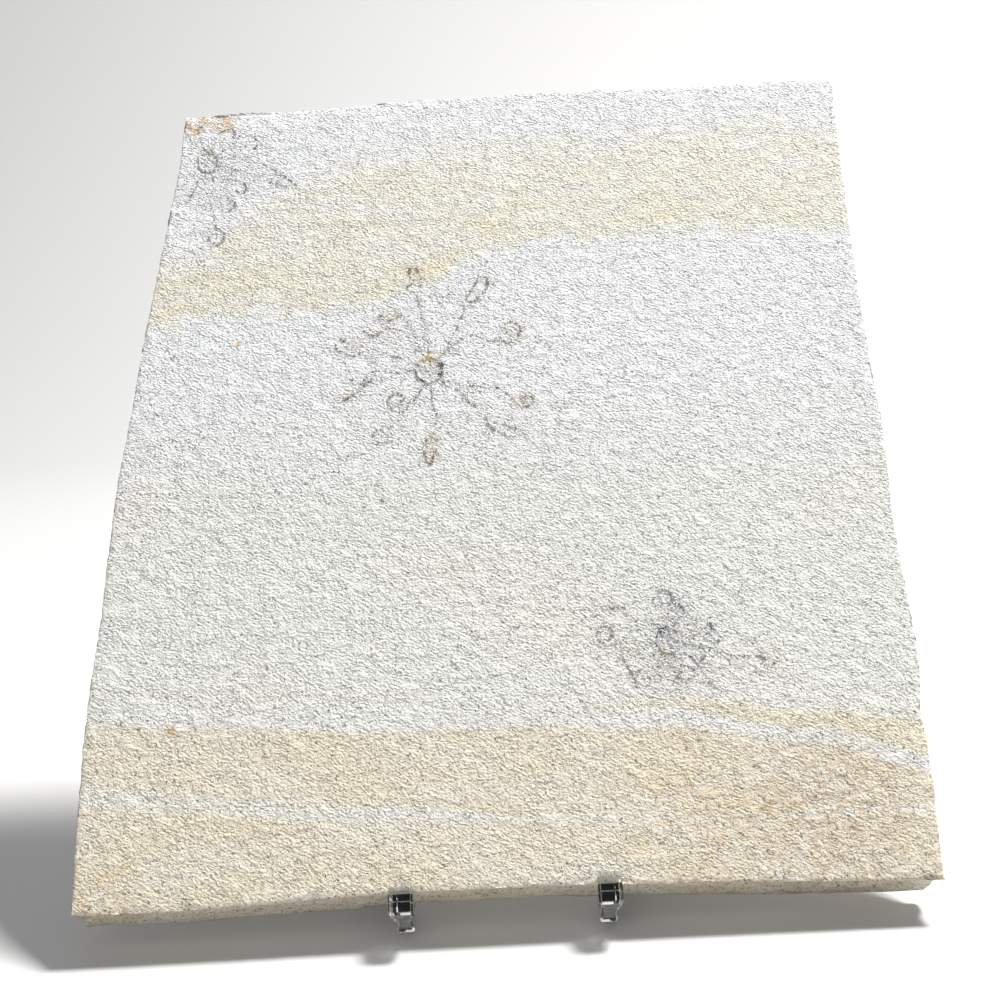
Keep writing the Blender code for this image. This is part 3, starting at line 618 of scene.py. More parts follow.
def slab_millimetres(tree):
    """The shaded point in the slab's own millimetres, worked out from the object's coordinates."""
    place = add(tree, "ShaderNodeTexCoord").outputs["Object"]
    mapped = add(tree, "ShaderNodeMapping",
                 {"Vector": place, "Location": SEAT_LINE,
                  "Rotation": (math.pi / 2 - SLAB_LEAN, 0, 0), "Scale": (MM, MM, MM)},
                 vector_type="TEXTURE")
    return mapped.outputs[0]


def new_material(name):
    """A material, its tree, and the one shader in it."""
    material = bpy.data.materials.new(name)
    material.use_nodes = True
    tree = material.node_tree
    return material, tree, tree.nodes["Principled BSDF"]


print("node tools ready")

# %% [markdown]
# ## Iron bands
# Water carrying iron soaked along the slab and left bands: a wide yellow one, richest along its
# crumbled lower border, and a tan one along the foot with white seams in it. Each border is a
# curve node that gives its height for every place across the slab; noise frays it. The same
# curves run through the whole thickness, as the stain does in the stone.

# %% Colours and borders of the bands
CURVE_LEFT = -80.0
CURVE_WIDTH = 170.0
CURVE_HEIGHT = 200.0

YELLOW_TOP = [(-80, 143), (-60, 144.5), (-50, 154), (-34, 164.5), (-10, 170.3), (23, 171), (64, 173.6),
              (90, 172)]
YELLOW_FOOT = [(-80, 122.5), (-68, 122.9), (-52, 125.8), (-31, 125.2), (-11, 130.5), (5, 140.4),
               (30, 140.8), (43, 141.8), (58, 141.6), (69, 140.6), (90, 140.5)]
TAN_TOP = [(-80, 35.6), (-46, 31.8), (-13, 29.8), (19, 29), (38, 26.9), (57, 22.9), (76, 16.9), (90, 12)]
SEAM_MIDDLE = [(-80, 40), (-20, 34.5), (5, 32.3), (30, 29.8), (51, 26.1), (64, 23.9), (76, 18.8), (90, 14)]
WEDGE_TOP = [(-80, 42), (-20, 36.5), (0, 34.1), (26, 33.5), (39, 32.3), (76, 26.9), (90, 25)]
LOW_SEAM = [(-80, 21.2), (-52, 17.5), (-26, 15), (-1, 12.7), (28, 11.2), (90, 10)]

STONE_WHITE = (0.748, 0.736, 0.694, 1)
STONE_COOL = (0.770, 0.770, 0.768, 1)
YELLOW_STAIN = (0.735, 0.665, 0.480, 1)
TAN_STAIN = (0.730, 0.650, 0.500, 1)
ORANGE_STAIN = (0.62, 0.42, 0.20, 1)
RUST_STAIN = (0.50, 0.36, 0.19, 1)
GOLD_STAIN = (0.66, 0.46, 0.11, 1)
BROWN_STAIN = (0.56, 0.43, 0.30, 1)
FLECK_YELLOW = (0.70, 0.56, 0.25, 1)
# grey of the stone's specks and dust, also the colour of the painted shade along the ledges and in the pits
SPECK_AND_SHADE_GREY = (0.15, 0.15, 0.155, 1)
SPECK_BLACK = (0.045, 0.043, 0.045, 1)


def border_height(tree, across, points):
    """A curve node: how far up the slab a border lies, for each place across it."""
    made = tree.nodes.new("ShaderNodeFloatCurve")
    line = made.mapping.curves[0]
    spots = [((x - CURVE_LEFT) / CURVE_WIDTH, y / CURVE_HEIGHT) for x, y in points]
    line.points[0].location = spots[0]
    line.points[1].location = spots[-1]
    for spot in spots[1:-1]:
        line.points.new(*spot)
    made.mapping.update()
    share = calc(tree, "MULTIPLY_ADD", across, 1 / CURVE_WIDTH, -CURVE_LEFT / CURVE_WIDTH)
    tree.links.new(share, made.inputs["Value"])
    return calc(tree, "MULTIPLY", made.outputs[0], CURVE_HEIGHT)


print(len(YELLOW_TOP + YELLOW_FOOT + TAN_TOP + SEAM_MIDDLE + WEDGE_TOP + LOW_SEAM), "border points")

# %% [markdown]
# ## Laying the bands and stains
# The stone's own white goes from warm at the foot to cool at the top. Over it the bands and then
# the single stains are blended, each through a mask made of its distance to a border or a spot.
# Noise is added to that distance before the mask is cut, so a border frays where a plain blend
# would only blur.

# %% Bands and stains
STAINS = [((-63.5, 181), 3.4, 1.0, ORANGE_STAIN), ((-57, 180.5), 3.2, 0.9, ORANGE_STAIN),
          ((-70, 2), 6, 0.45, ORANGE_STAIN), ((-60, 31.9), 1.0, 0.7, ORANGE_STAIN),
          ((-51, 117.7), 0.7, 0.8, ORANGE_STAIN), ((29, 134.4), 0.6, 0.7, ORANGE_STAIN),
          ((36, 10), 14, 0.34, ORANGE_STAIN), ((59, 11), 14, 0.78, BROWN_STAIN)]
WIDE_STAIN = 2                      # stains that reach further than this are broken up


def spot_mask(tree, where, middle, reach, fray):
    """1 at a spot on the slab, fading to 0 about `reach` millimetres away."""
    flat = add(tree, "ShaderNodeVectorMath", {0: where, 1: (1, 1, 0)}, operation="MULTIPLY")
    apart = add(tree, "ShaderNodeVectorMath", {0: flat.outputs[0], 1: (*middle, 0)},
                operation="DISTANCE").outputs["Value"]
    frayed = calc(tree, "MULTIPLY_ADD", fray, reach * 2.4, apart)
    return ramp(tree, frayed, reach * 0.4, reach * 1.5, 1.0, 0.0)


def banded_colour(tree, where):
    """The stone's colour with its bands and stains."""
    split = add(tree, "ShaderNodeSeparateXYZ", {0: where})
    across, up = split.outputs[0], split.outputs[1]
    wander = lumps(tree, where, 9, detail=4, roughness=0.62, stretch=(1.6, 1, 1))
    fray = calc(tree, "SUBTRACT", wander, 0.5)
    fine_fray = calc(tree, "SUBTRACT", lumps(tree, where, 2.2, detail=3, stretch=(1.8, 1, 1)), 0.5)
    frayed_up = calc(tree, "MULTIPLY_ADD", fray, 4.0, calc(tree, "MULTIPLY_ADD", fine_fray, 1.6, up))
    patchy = calc(tree, "SUBTRACT", lumps(tree, where, 5.0, detail=4, roughness=0.65), 0.5)
    crumbly = calc(tree, "SUBTRACT", lumps(tree, where, 0.9, detail=2, roughness=0.7), 0.5)

    def over(points):
        return calc(tree, "SUBTRACT", frayed_up, border_height(tree, across, points))

    # the yellow band: crumbled and rich at its foot, fading upwards
    over_foot = over(YELLOW_FOOT)
    under_top = calc(tree, "MULTIPLY", over(YELLOW_TOP), -1.0)
    over_foot = calc(tree, "MULTIPLY_ADD", patchy, 13.0, over_foot)
    over_foot = calc(tree, "MULTIPLY_ADD", crumbly, 7.0, over_foot)
    band = calc(tree, "MULTIPLY", ramp(tree, over_foot, -2.8, 4.2), ramp(tree, under_top, -6, 9))
    richness = ramp(tree, over_foot, 0.0, 18.0, 0.84, 0.58)
    mottle = ramp(tree, lumps(tree, where, 6, detail=5, roughness=0.68, stretch=(2, 1, 1)),
                  0.3, 0.7, 0.45, 1.1)
    yellow = calc(tree, "MULTIPLY", calc(tree, "MULTIPLY", band, richness), mottle)

    # the tan band along the foot, its white seams and the yellow wedge over them
    tan = ramp(tree, over(TAN_TOP), 0.7, -0.9)
    tan_depth = ramp(tree, lumps(tree, where, 8, detail=3, stretch=(2.6, 1, 1)), 0.3, 0.7, 0.55, 1.0)
    tan = calc(tree, "MULTIPLY", tan, tan_depth)
    from_low_seam = calc(tree, "ABSOLUTE", over(LOW_SEAM))
    seam_width = ramp(tree, across, -78, 34, 1.7, 0.1)
    low_seam = ramp(tree, calc(tree, "SUBTRACT", from_low_seam, seam_width), -0.6, 0.9, 1.0, 0.0)
    tan = calc(tree, "MULTIPLY", tan, calc(tree, "MULTIPLY_ADD", low_seam, -0.85, 1.0))
    under_wedge = calc(tree, "MULTIPLY", over(WEDGE_TOP), -1.0)
    wedge = calc(tree, "MULTIPLY", ramp(tree, over(SEAM_MIDDLE), 0.5, 1.9),
                 ramp(tree, under_wedge, -0.8, 0.8))
    wedge = calc(tree, "MULTIPLY", wedge, ramp(tree, across, 18, 44, 0.22, 0.75))

    warm = ramp(tree, lumps(tree, where, 34, detail=2, stretch=(2.2, 1, 1)), 0.45, 0.7, 0.0, 0.22)
    warm = calc(tree, "MULTIPLY", warm, ramp(tree, up, 100, 70))
    colour = blend_colour(tree, ramp(tree, up, 72, 114), STONE_WHITE, STONE_COOL)
    for mask, tint in ((warm, TAN_STAIN), (yellow, YELLOW_STAIN), (tan, TAN_STAIN), (wedge, YELLOW_STAIN)):
        colour = blend_colour(tree, mask, colour, tint)

    broken = ramp(tree, lumps(tree, where, 1.6, detail=4, roughness=0.7, stretch=(1.5, 1, 1)), 0.40, 0.62)
    for middle, reach, strength, tint in STAINS:
        wide = reach > WIDE_STAIN
        stain = spot_mask(tree, where, middle, reach, patchy if wide else fine_fray)
        if wide:
            stain = calc(tree, "MULTIPLY", stain, broken)
        colour = blend_colour(tree, calc(tree, "MULTIPLY", stain, strength), colour, tint)
    flecks = ramp(tree, lumps(tree, where, 1.2, detail=2, stretch=(1.6, 1, 1)), 0.66, 0.72, 0.0, 0.45)
    return blend_colour(tree, calc(tree, "MULTIPLY", flecks, yellow), colour, FLECK_YELLOW)


print(len(STAINS), "stains")

# %% [markdown]
# ## What the fossils left in the stone
# Round the fossils the stone holds rust, a little gold-coloured iron, black specks and a cloud of
# grey dust; close beside the arms the grey specks are partly painted shade. The painted numbers
# say how much of each there is. They aren't blended in smoothly, but shift the threshold that
# cuts a fine noise into specks, so more means denser, not darker.

# %% Marks round the fossils


def marked_colour(tree, where, colour, halo):
    soft = lumps(tree, where, 0.8, detail=3)
    speckle = lumps(tree, where, 0.28, detail=1, roughness=0.6)
    rust, gold, dark = [add(tree, "ShaderNodeAttribute", attribute_name=kind).outputs["Fac"]
                        for kind in ("rust", "gold", "dark")]
    rust = calc(tree, "MULTIPLY", rust, ramp(tree, soft, 0.35, 0.65, 0.15, 0.75))
    colour = blend_colour(tree, rust, colour, RUST_STAIN)
    gold = calc(tree, "MULTIPLY", gold, ramp(tree, soft, 0.4, 0.6, 0.1, 0.7))
    colour = blend_colour(tree, gold, colour, GOLD_STAIN)
    speckled = calc(tree, "SUBTRACT", speckle, calc(tree, "MULTIPLY", dark, 0.52))
    colour = blend_colour(tree, ramp(tree, speckled, -0.02, 0.02, 0.9, 0.0), colour, SPECK_BLACK)
    # grey specks: dust where the clouds are, and partly painted shade close beside the arms
    dust_and_shade = calc(tree, "MULTIPLY_ADD", halo, -0.14, speckle)
    return blend_colour(tree, ramp(tree, dust_and_shade, 0.27, 0.33, 0.62, 0.0), colour, SPECK_AND_SHADE_GREY)


print("specks from black", SPECK_BLACK[:3], "to grey", SPECK_AND_SHADE_GREY[:3])

# %% [markdown]
# ## Grain
# Under a raking lamp the grain is what the eye sees first. It has crumbs under half a millimetre,
# streaks that run down to the right, little ledges where thin layers end, and pits. One height
# adds them all up for the bump, and the same fields paint shade into the colour: darker hollows
# between the crumbs, painted shadow lines along the ledges and painted shade in the pits.

# %% The stone's grain
CRUMB_SIZE, STREAK_SIZE, PIT_SIZE = 0.44, 0.42, 0.36        # millimetres, as are the heights
CRUMB_HEIGHT, STREAK_HEIGHT, LEDGE_HEIGHT, PIT_DEPTH = 0.48, 0.35, 0.10, 0.07


def grained(tree, where, colour, halo):
    """The colour with painted shade in the grain's hollows, ledges and pits, and the height for the bump."""
    up = add(tree, "ShaderNodeSeparateXYZ", {0: where}).outputs[1]
    liveliness = ramp(tree, lumps(tree, where, 3.5, detail=2), 0.35, 0.65, 0.55, 1.35)
    liveliness = calc(tree, "MULTIPLY", liveliness, ramp(tree, up, 20, 130, 0.79, 1.0))
    liveliness = calc(tree, "MULTIPLY", liveliness, ramp(tree, halo, 0, 1, 1.0, 1.35))
    crumbs = lumps(tree, where, CRUMB_SIZE, detail=1, roughness=0.55, stretch=(1.2, 1, 1), distortion=0.6)
    crumbs = calc(tree, "SUBTRACT", crumbs, 0.5)
    streaks = lumps(tree, where, STREAK_SIZE, detail=1, stretch=(2.4, 1, 1), turn=0.6)
    streaks = calc(tree, "SUBTRACT", streaks, 0.5)

    # ledges: a field cut into steps, with a short slope between one step and the next
    ledge_field = lumps(tree, where, 1.5, detail=3, roughness=0.65, stretch=(1.4, 1, 1), turn=0.45)
    ledge_count = calc(tree, "MULTIPLY", ledge_field, 4.0)
    ledge_place = calc(tree, "FRACT", ledge_count)
    ledges = calc(tree, "ADD", calc(tree, "SUBTRACT", ledge_count, ledge_place),
                  ramp(tree, ledge_place, 0.43, 0.57))
    ledge_height = ramp(tree, lumps(tree, where, 2.6, detail=2), 0.42, 0.66, 0.005, LEDGE_HEIGHT)
    # painted shadow: thin dark lines along the short slopes between the ledges, where shade falls
    off_ledge = calc(tree, "ABSOLUTE", calc(tree, "SUBTRACT", ledge_place, 0.5))
    crevice_shadow = calc(tree, "MULTIPLY", ramp(tree, off_ledge, 0.05, 0.15, 1.0, 0.0),
                    ramp(tree, lumps(tree, where, 0.8, detail=2, roughness=0.7), 0.50, 0.58))

    # pits are dug into the bump, and their colour gets painted shade
    pit_field = lumps(tree, where, PIT_SIZE, detail=1, stretch=(1.6, 1, 1), turn=0.5)
    pits = ramp(tree, calc(tree, "MULTIPLY_ADD", halo, -0.05, pit_field), 0.32, 0.37, 1.0, 0.0)
    speck_cells = add(tree, "ShaderNodeTexVoronoi", {"Vector": where, "Scale": 0.9, "Randomness": 1.0})
    speck_pick = add(tree, "ShaderNodeSeparateColor", {0: speck_cells.outputs["Color"]}).outputs[0]
    specks = calc(tree, "LESS_THAN", speck_cells.outputs["Distance"],
                  ramp(tree, speck_pick, 0.86, 1.0, 0.0, 0.24))

    # painted shade: the crumbs' hollows darker and their tops lighter; a little darker by the halo, which is
    # painted shade beside the arms and the dust's own grey in the clouds
    shade = calc(tree, "MULTIPLY_ADD", crumbs, 0.40, 1.01)
    shade = calc(tree, "MULTIPLY_ADD", halo, -0.05, shade)
    colour = blend_colour(tree, 1.0, colour, grey(tree, shade), way="MULTIPLY")
    # painted shadow along the ledges and painted shade in the pits; the specks are the stone's own dark
    # grains
    for mask, strength in ((crevice_shadow, 0.8), (pits, 0.8), (specks, 0.6)):
        colour = blend_colour(tree, calc(tree, "MULTIPLY", mask, strength), colour, SPECK_AND_SHADE_GREY)

    height = calc(tree, "MULTIPLY", crumbs, CRUMB_HEIGHT)
    height = calc(tree, "MULTIPLY_ADD", streaks, STREAK_HEIGHT, height)
    height = calc(tree, "MULTIPLY", height, liveliness)
    height = calc(tree, "MULTIPLY_ADD", ledges, ledge_height, height)
    return colour, calc(tree, "MULTIPLY_ADD", pits, -PIT_DEPTH, height)


def limestone_material():
    material, tree, shader = new_material("limestone")
    where = slab_millimetres(tree)
    halo = add(tree, "ShaderNodeAttribute", attribute_name="halo").outputs["Fac"]
    colour = marked_colour(tree, where, banded_colour(tree, where), halo)
    colour, height = grained(tree, where, colour, halo)
    bump = add(tree, "ShaderNodeBump", {"Height": height, "Distance": MM, "Strength": 1.0})
    tree.links.new(colour, shader.inputs["Base Color"])
    tree.links.new(bump.outputs[0], shader.inputs["Normal"])
    shader.inputs["Roughness"].default_value = 0.9
    shader.inputs["Specular IOR Level"].default_value = 0.25
    return material


stone.data.materials.append(limestone_material())
print("limestone material:", len(stone.data.materials[0].node_tree.nodes), "nodes")

# %% [markdown]
# ## Arms: chains of little plates
# A crinoid's arm is a string of calcite plates, each a third of a millimetre long. That is a
# repeat along a path, so Geometry Nodes lay one bead at every step of the arm's curve, turn it
# along the curve, vary its size, push it a little aside and leave some beads out, since few arms
# are whole. The curve's own radius carries the taper, and its height carries the places where
# the arm dips under the stone.

# %% The arm tree


def arm_chain_tree():
    """Geometry Nodes: beads along every arm curve."""
    tree = bpy.data.node_groups.new("arm chain", "GeometryNodeTree")
    face = tree.interface
    face.new_socket("Geometry", in_out="INPUT", socket_type="NodeSocketGeometry")
    for name, value in (("Plate Length", 0.28), ("Plate Overlap", 1.25), ("Height Share", 0.8),
                        ("Unevenness", 0.5), ("Gap Share", 0.3), ("Scatter", 0.13)):
        socket = face.new_socket(name, in_out="INPUT", socket_type="NodeSocketFloat")
        socket.default_value = value
    seed = face.new_socket("Seed", in_out="INPUT", socket_type="NodeSocketInt")
    seed.default_value = 7
    face.new_socket("Material", in_out="INPUT", socket_type="NodeSocketMaterial")
    face.new_socket("Geometry", in_out="OUTPUT", socket_type="NodeSocketGeometry")
    given = add(tree, "NodeGroupInput").outputs
    share = add(tree, "GeometryNodeSplineParameter").outputs["Factor"]
    curves = add(tree, "GeometryNodeStoreNamedAttribute", {"Geometry": given["Geometry"], "Name": "along",
                                                           "Value": share},
                 data_type="FLOAT", domain="POINT")
    dots = add(tree, "GeometryNodeCurveToPoints", {"Curve": curves.outputs[0],
                                                   "Length": given["Plate Length"]}, mode="LENGTH")
    facing = add(tree, "FunctionNodeAlignRotationToVector", {"Vector": dots.outputs["Tangent"]},
                 axis="X", pivot_axis="Z")

    def chance(low, high, shift):
        """A random number for each bead; `shift` keeps one use of chance apart from the next."""
        return add(tree, "FunctionNodeRandomValue",
                   {"Seed": calc(tree, "ADD", given["Seed"], shift), 2: low, 3: high},
                   data_type="FLOAT").outputs[1]

    aside = calc(tree, "MULTIPLY", chance(-1.0, 1.0, 11), given["Scatter"])
    upward = calc(tree, "MULTIPLY", chance(-1.0, 1.0, 12), given["Scatter"])
    shift = add(tree, "ShaderNodeCombineXYZ", {0: aside, 1: upward})
    loose = add(tree, "GeometryNodeSetPosition", {"Geometry": dots.outputs["Points"],
                                                  "Offset": shift.outputs[0]})
    kept = calc(tree, "GREATER_THAN", chance(0.0, 1.0, 13), given["Gap Share"])
    least = calc(tree, "SUBTRACT", 1.0, given["Unevenness"])
    most = calc(tree, "ADD", 1.0, given["Unevenness"])
    uneven = chance(least, most, 0)
    radius = add(tree, "GeometryNodeInputRadius").outputs[0]
    wide = calc(tree, "MULTIPLY", radius, uneven)
    long = calc(tree, "MULTIPLY", given["Plate Length"], given["Plate Overlap"])
    half_long = calc(tree, "MULTIPLY", long, 0.5)
    high = calc(tree, "MULTIPLY", wide, given["Height Share"])
    size = add(tree, "ShaderNodeCombineXYZ", {0: half_long, 1: wide, 2: high})
    bead = add(tree, "GeometryNodeMeshUVSphere", {"Segments": 8, "Rings": 5, "Radius": 1.0})
    laid = add(tree, "GeometryNodeInstanceOnPoints", {"Points": loose.outputs[0],
                                                      "Selection": kept,
                                                      "Instance": bead.outputs["Mesh"],
                                                      "Rotation": facing.outputs[0],
                                                      "Scale": size.outputs[0]})
    pick = chance(0.0, 1.0, 50)
    picked = add(tree, "GeometryNodeStoreNamedAttribute", {"Geometry": laid.outputs[0], "Name": "pick",
                                                           "Value": pick},
                 data_type="FLOAT", domain="INSTANCE")
    real = add(tree, "GeometryNodeRealizeInstances", {"Geometry": picked.outputs[0]})
    smooth = add(tree, "GeometryNodeSetShadeSmooth", {"Geometry": real.outputs[0]})
    painted = add(tree, "GeometryNodeSetMaterial", {"Geometry": smooth.outputs[0],
                                                    "Material": given["Material"]})
    add(tree, "NodeGroupOutput", {"Geometry": painted.outputs[0]})
    return tree


arm_chain = arm_chain_tree()
print("arm chain tree:", len(arm_chain.nodes), "nodes")

# %% [markdown]
# ## Fossil calcite
# The calcite is nearly as pale as the stone. What shows is where iron and manganese settled: dark
# plates among pale ones, which partly stand for painted shade in the thin grooves along the arms,
# a rusty tint on the curled tips, and a dark, broken rim round the cup.
# Every plate has its own random number, so the material can pick the dark ones.

# %% Fossil material


def fossil_material(name, pale, dark_colour, dark_share):
    """Calcite; `dark_share` is the share of dark plates near the cup, with fewer at the tips."""
    material, tree, shader = new_material(name)
    where = slab_millimetres(tree)
    read = {kind: add(tree, "ShaderNodeAttribute", attribute_name=kind).outputs["Fac"]
            for kind in ("along", "pick", "rust", "gold", "dark")}
    soft = lumps(tree, where, 0.7, detail=3)
    speckle_soft = lumps(tree, where, 0.4, detail=2)
    share = ramp(tree, read["along"], 0.1, 0.8, dark_share, dark_share * 0.55)
    # dark plates: partly manganese, partly painted shade of the thin grooves along the arm
    is_dark = calc(tree, "LESS_THAN", calc(tree, "MULTIPLY_ADD", soft, 0.6, read["pick"]),
                   calc(tree, "ADD", share, 0.3))
    tone = ramp(tree, lumps(tree, where, 0.35, detail=1), 0.3, 0.7, 0.80, 1.05)
    colour = blend_colour(tree, 1.0, pale, grey(tree, tone), way="MULTIPLY")
    colour = blend_colour(tree, calc(tree, "MULTIPLY", is_dark, 0.8), colour, dark_colour)
    rust = calc(tree, "MULTIPLY", read["rust"], ramp(tree, soft, 0.3, 0.6, 0.4, 0.95))
    colour = blend_colour(tree, rust, colour, RUST_STAIN)
    gold = calc(tree, "MULTIPLY", read["gold"], ramp(tree, speckle_soft, 0.40, 0.60, 0.1, 0.9))
    colour = blend_colour(tree, gold, colour, GOLD_STAIN)
    speckle = lumps(tree, where, 0.26, detail=1, roughness=0.6)
    speckled = calc(tree, "SUBTRACT", speckle, calc(tree, "MULTIPLY", read["dark"], 0.60))
    colour = blend_colour(tree, ramp(tree, speckled, -0.02, 0.02, 1.0, 0.0), colour, SPECK_BLACK)
    crumbs = lumps(tree, where, CRUMB_SIZE, detail=1, roughness=0.55, distortion=0.6)
    bump = add(tree, "ShaderNodeBump", {"Height": crumbs, "Distance": 0.60 * MM, "Strength": 1.0})
    tree.links.new(colour, shader.inputs["Base Color"])
    tree.links.new(bump.outputs[0], shader.inputs["Normal"])
    shader.inputs["Roughness"].default_value = 0.75
    return material


FOSSIL_LOOKS = {
    "crinoid_middle": dict(pale=(0.70, 0.68, 0.64, 1), dark_colour=(0.13, 0.12, 0.11, 1),
                           dark_share=0.36),
    "crinoid_top_left": dict(pale=(0.72, 0.71, 0.69, 1), dark_colour=(0.15, 0.15, 0.15, 1),
                             dark_share=0.38),
    "crinoid_low_right": dict(pale=(0.66, 0.66, 0.67, 1), dark_colour=(0.17, 0.17, 0.18, 1),
                              dark_share=0.24),
}
fossil_paint = {name: fossil_material("fossil " + name, **look) for name, look in FOSSIL_LOOKS.items()}
print("fossil materials:", ", ".join(fossil_paint))

# %% [markdown]
# ## Laying the arms
# The arms follow the stone's own relief and dip under it here and there, so they show as broken
# lines, as on most slabs. The arms are made first: each is a plain curve, and the tree above is
# run on it and turned into a mesh.

# %% Arms as curves and as chains
ARM_WIDTH = 0.18                    # half width of an arm's plates near the cup, in millimetres
COIL_WIDTH = 0.27
TIP_WIDTH = 0.20
COIL_AT, COIL_LENGTH = 0.80, 0.16   # where the coil is, as shares of the arm's length
SUNK, COIL_RISE = 0.06, 0.05        # an arm's middle line under the face, less so at the coil
DIP, DIP_LENGTH = 0.20, 1.6         # how deep and how often an arm dips under the stone

rim_finder = kdtree.KDTree(2 * (CELLS_ACROSS + CELLS_UP))
for index, (row, column) in enumerate(around(face_grid)):
    rim_finder.insert((*face_grid[row, column], 0), index)
rim_finder.balance()


def stone_height(x, y):
    """The height of the stone's face at a place that needn't be one of its own points."""
    return face_relief(x, y, rim_finder.find((x, y, 0))[2])


def arm_curves(name, crinoid):
    """All arms of a crinoid as splines in the slab's millimetres, with their dips and taper."""
    curve = bpy.data.curves.new(name + " paths", "CURVE")
    curve.dimensions = "3D"
    for number, line in enumerate(arm_lines(crinoid, 0.35)):
        spline = curve.splines.new("POLY")
        spline.points.add(len(line) - 1)
        for index, (point, (x, y)) in enumerate(zip(spline.points, line)):
            share = index / (len(line) - 1)
            coil = math.exp(-((share - COIL_AT) / COIL_LENGTH) ** 2)
            dip = DIP * rough(x, y, number * 3.7, size=DIP_LENGTH)
            width = ARM_WIDTH + (TIP_WIDTH - ARM_WIDTH) * share + (COIL_WIDTH - ARM_WIDTH) * coil
            point.co = (x, y, stone_height(x, y) - SUNK + dip + COIL_RISE * coil, 1)
            point.radius = width
    paths = bpy.data.objects.new(name + "_arms", curve)
    bpy.context.collection.objects.link(paths)
    return paths


def chained(paths, stain, seed):
    """The arm tree run on the curves, as a plain mesh in the slab's millimetres."""
    step = paths.modifiers.new("arm chain", "NODES")
    step.node_group = arm_chain
    sockets = {item.name: item.identifier for item in arm_chain.interface.items_tree
               if item.in_out == "INPUT"}
    step[sockets["Seed"]] = seed
    step[sockets["Material"]] = stain
    bpy.context.view_layer.update()
    mesh = bpy.data.meshes.new_from_object(paths.evaluated_get(bpy.context.evaluated_depsgraph_get()))
    bpy.data.objects.remove(paths)
    return mesh


print("height of the stone at the middle cup:", round(stone_height(-11.1, 108.9), 3), "mm")

# %% [markdown]
# ## Cups, and each fossil as one mesh
# The cup is a low crater with a knobbly rim, made as rings of points and closed underneath. Its
# mesh is fine enough to carry its dark and golden patches as painted numbers; the broken rim is
# darkest on the side where the cup's wall stands free. Arms and cup are one mesh, as they are
# one fossil.

# %% Cups and fossils
RIM_DARK = 0.85                     # how dark the broken rim of a cup is on its darkest side
RIM_AT, RIM_WIDTH, RIM_RISE = 0.84, 0.13, 0.18      # shares of the cup's radius; millimetres
RIDGES, RIDGE_RISE = 5, 0.08
DROP_FROM, DROP = 0.92, 0.45        # from here outwards the wall goes down into the stone


def cup_shape(crinoid, rings=22, spokes=84):
    """The cup: a knobbly ring round a shallow hollow with five low ridges, closed underneath."""
    middle_x, middle_y = crinoid["centre"]
    wide, tall = crinoid["cup"]
    points = []
    faces = []

    def spot(reach, angle, height):
        wobble = 1 + 0.13 * rough(math.cos(angle) * 3, math.sin(angle) * 3, middle_x, size=2)
        x = middle_x + wide * reach * wobble * math.cos(angle)
        y = middle_y + tall * reach * wobble * math.sin(angle)
        knobs = 0.16 * rough(x, y, middle_y, size=1.1) + 0.20 * rough(x, y, 7.0, size=0.5, octaves=2)
        points.append((x, y, stone_height(x, y) + height + knobs * min(1, 8 * (1 - reach))))

    spot(0, 0, 0.05)
    for k in range(1, rings + 1):
        reach = k / rings
        for s in range(spokes):
            angle = 2 * math.pi * s / spokes
            rim = RIM_RISE * math.exp(-((reach - RIM_AT) / RIM_WIDTH) ** 2)
            ridge = (RIDGE_RISE * max(0.0, math.cos(RIDGES * angle))
                     * math.exp(-((reach - 0.45) / 0.3) ** 2))
            drop = DROP * max(0.0, reach - DROP_FROM) / (1 - DROP_FROM)
            spot(reach, angle, 0.02 + rim + ridge - drop)
        first = 1 + (k - 1) * spokes
        for s in range(spokes):
            after = (s + 1) % spokes
            if k == 1:
                faces.append((0, first + s, first + after))
            else:
                faces.append((first - spokes + s, first + s, first + after, first - spokes + after))
    faces.append(tuple(range(len(points) - 1, len(points) - 1 - spokes, -1)))
    return points, faces


def numbers_on(mesh, name):
    """The numbers that the arm tree left on a mesh, one for each point."""
    values = np.zeros(len(mesh.vertices), dtype=np.float32)
    mesh.attributes[name].data.foreach_get("value", values)
    return values


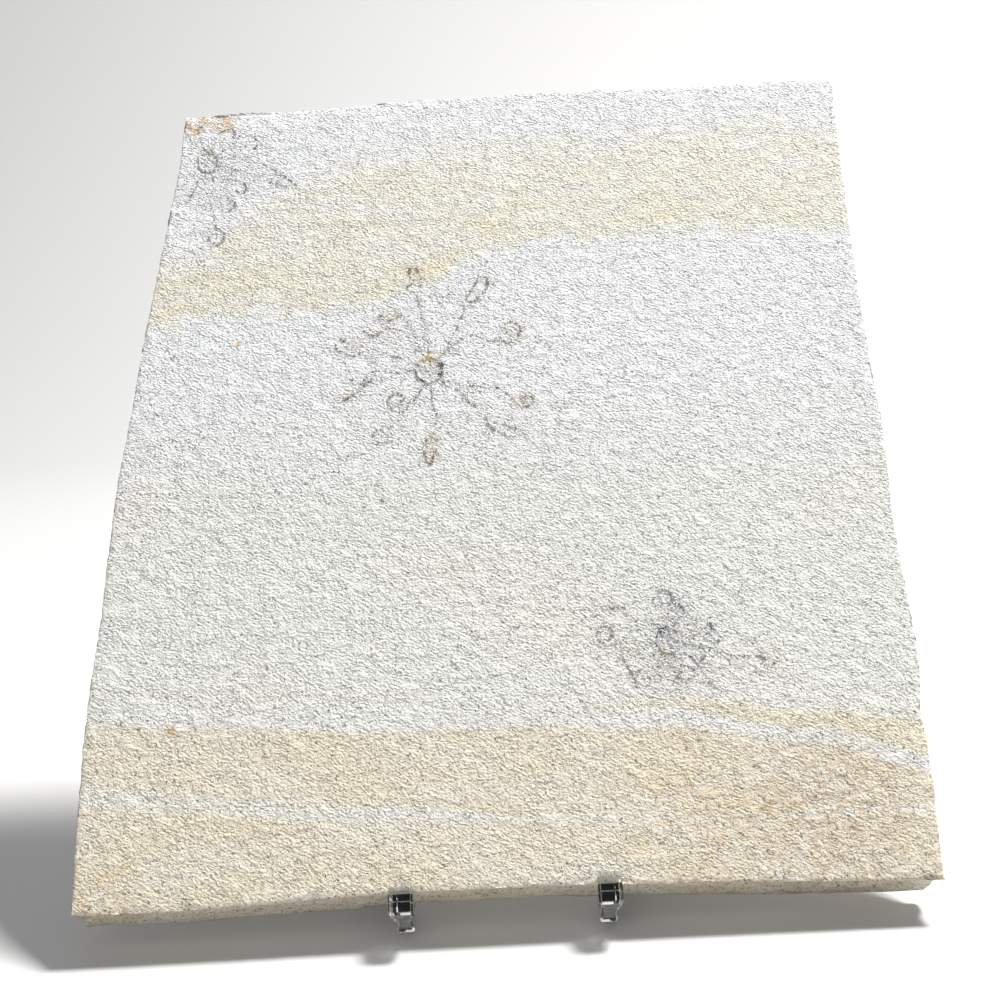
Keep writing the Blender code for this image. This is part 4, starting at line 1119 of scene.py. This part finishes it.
def fossil_piece(name, crinoid, seed):
    """Arms and cup as one mesh in the room, with its painted numbers."""
    arms = chained(arm_curves(name, crinoid), fossil_paint[name], seed)
    arm_spots = [tuple(vertex.co) for vertex in arms.vertices]
    arm_faces = [tuple(face.vertices) for face in arms.polygons]
    cup_spots, cup_faces = cup_shape(crinoid)
    shift = len(arm_spots)
    mesh = bpy.data.meshes.new(name)
    mesh.from_pydata(arm_spots + cup_spots, [],
                     arm_faces + [tuple(shift + v for v in face) for face in cup_faces])
    places = np.array(arm_spots + cup_spots)[:, :2]
    painted = {kind: marks_over(places, kind) for kind in ("rust", "gold", "dark")}
    off = (places[shift:] - crinoid["centre"]) / crinoid["cup"]
    out = np.linalg.norm(off, axis=1)
    facing = np.cos(np.arctan2(off[:, 1], off[:, 0]) - math.radians(crinoid["dark_side"]))
    rim_dark = RIM_DARK * np.exp(-((out - 0.88) / 0.14) ** 2) * (0.58 + 0.42 * facing)
    painted["dark"][shift:] = np.maximum(painted["dark"][shift:], rim_dark)
    for kind, values in painted.items():
        paint(mesh, kind, values)
    still = np.zeros(len(cup_spots))
    paint(mesh, "along", np.concatenate([numbers_on(arms, "along"), still]))
    paint(mesh, "pick", np.concatenate([numbers_on(arms, "pick"), still + 0.9]))
    mesh.transform(slab_to_room)
    mesh.shade_smooth()
    mesh.materials.append(fossil_paint[name])
    fossil = bpy.data.objects.new(name + "_fossil", mesh)
    bpy.context.collection.objects.link(fossil)
    return fossil


for seed, (name, crinoid) in enumerate(CRINOIDS.items()):
    fossil = fossil_piece(name, crinoid, seed)
    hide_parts(name)
    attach(fossil, "root")
    print(name, "has", len(fossil.data.polygons), "faces")

# %% [markdown]
# ## Clear plastic
# The easel is one piece of clear moulded plastic, and the solid model has its shape already, so
# it only needs a finish: full transmission, the plastic's index of refraction, and a surface
# polished but not perfect. A very faint unevenness from the mould bends the reflections.

# %% Clear plastic


def clear_plastic():
    material, tree, shader = new_material("clear plastic")
    where = add(tree, "ShaderNodeTexCoord").outputs["Object"]
    ripple = add(tree, "ShaderNodeTexNoise", {"Vector": where, "Scale": 140.0, "Detail": 1.0})
    bump = add(tree, "ShaderNodeBump", {"Height": ripple.outputs["Fac"], "Distance": 0.03 * MM})
    tree.links.new(bump.outputs[0], shader.inputs["Normal"])
    shader.inputs["Base Color"].default_value = (0.965, 0.98, 0.985, 1)
    shader.inputs["Roughness"].default_value = 0.03
    shader.inputs["IOR"].default_value = 1.49
    shader.inputs["Transmission Weight"].default_value = 1.0
    return material


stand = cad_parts["display_stand"]
if isinstance(stand, str):
    stand = bpy.data.objects[stand]
stand.data.materials.clear()
stand.data.materials.append(clear_plastic())
stand.data.shade_smooth()
stand.data.set_sharp_from_angle(angle=math.radians(30))
print("clear plastic on", stand.name)
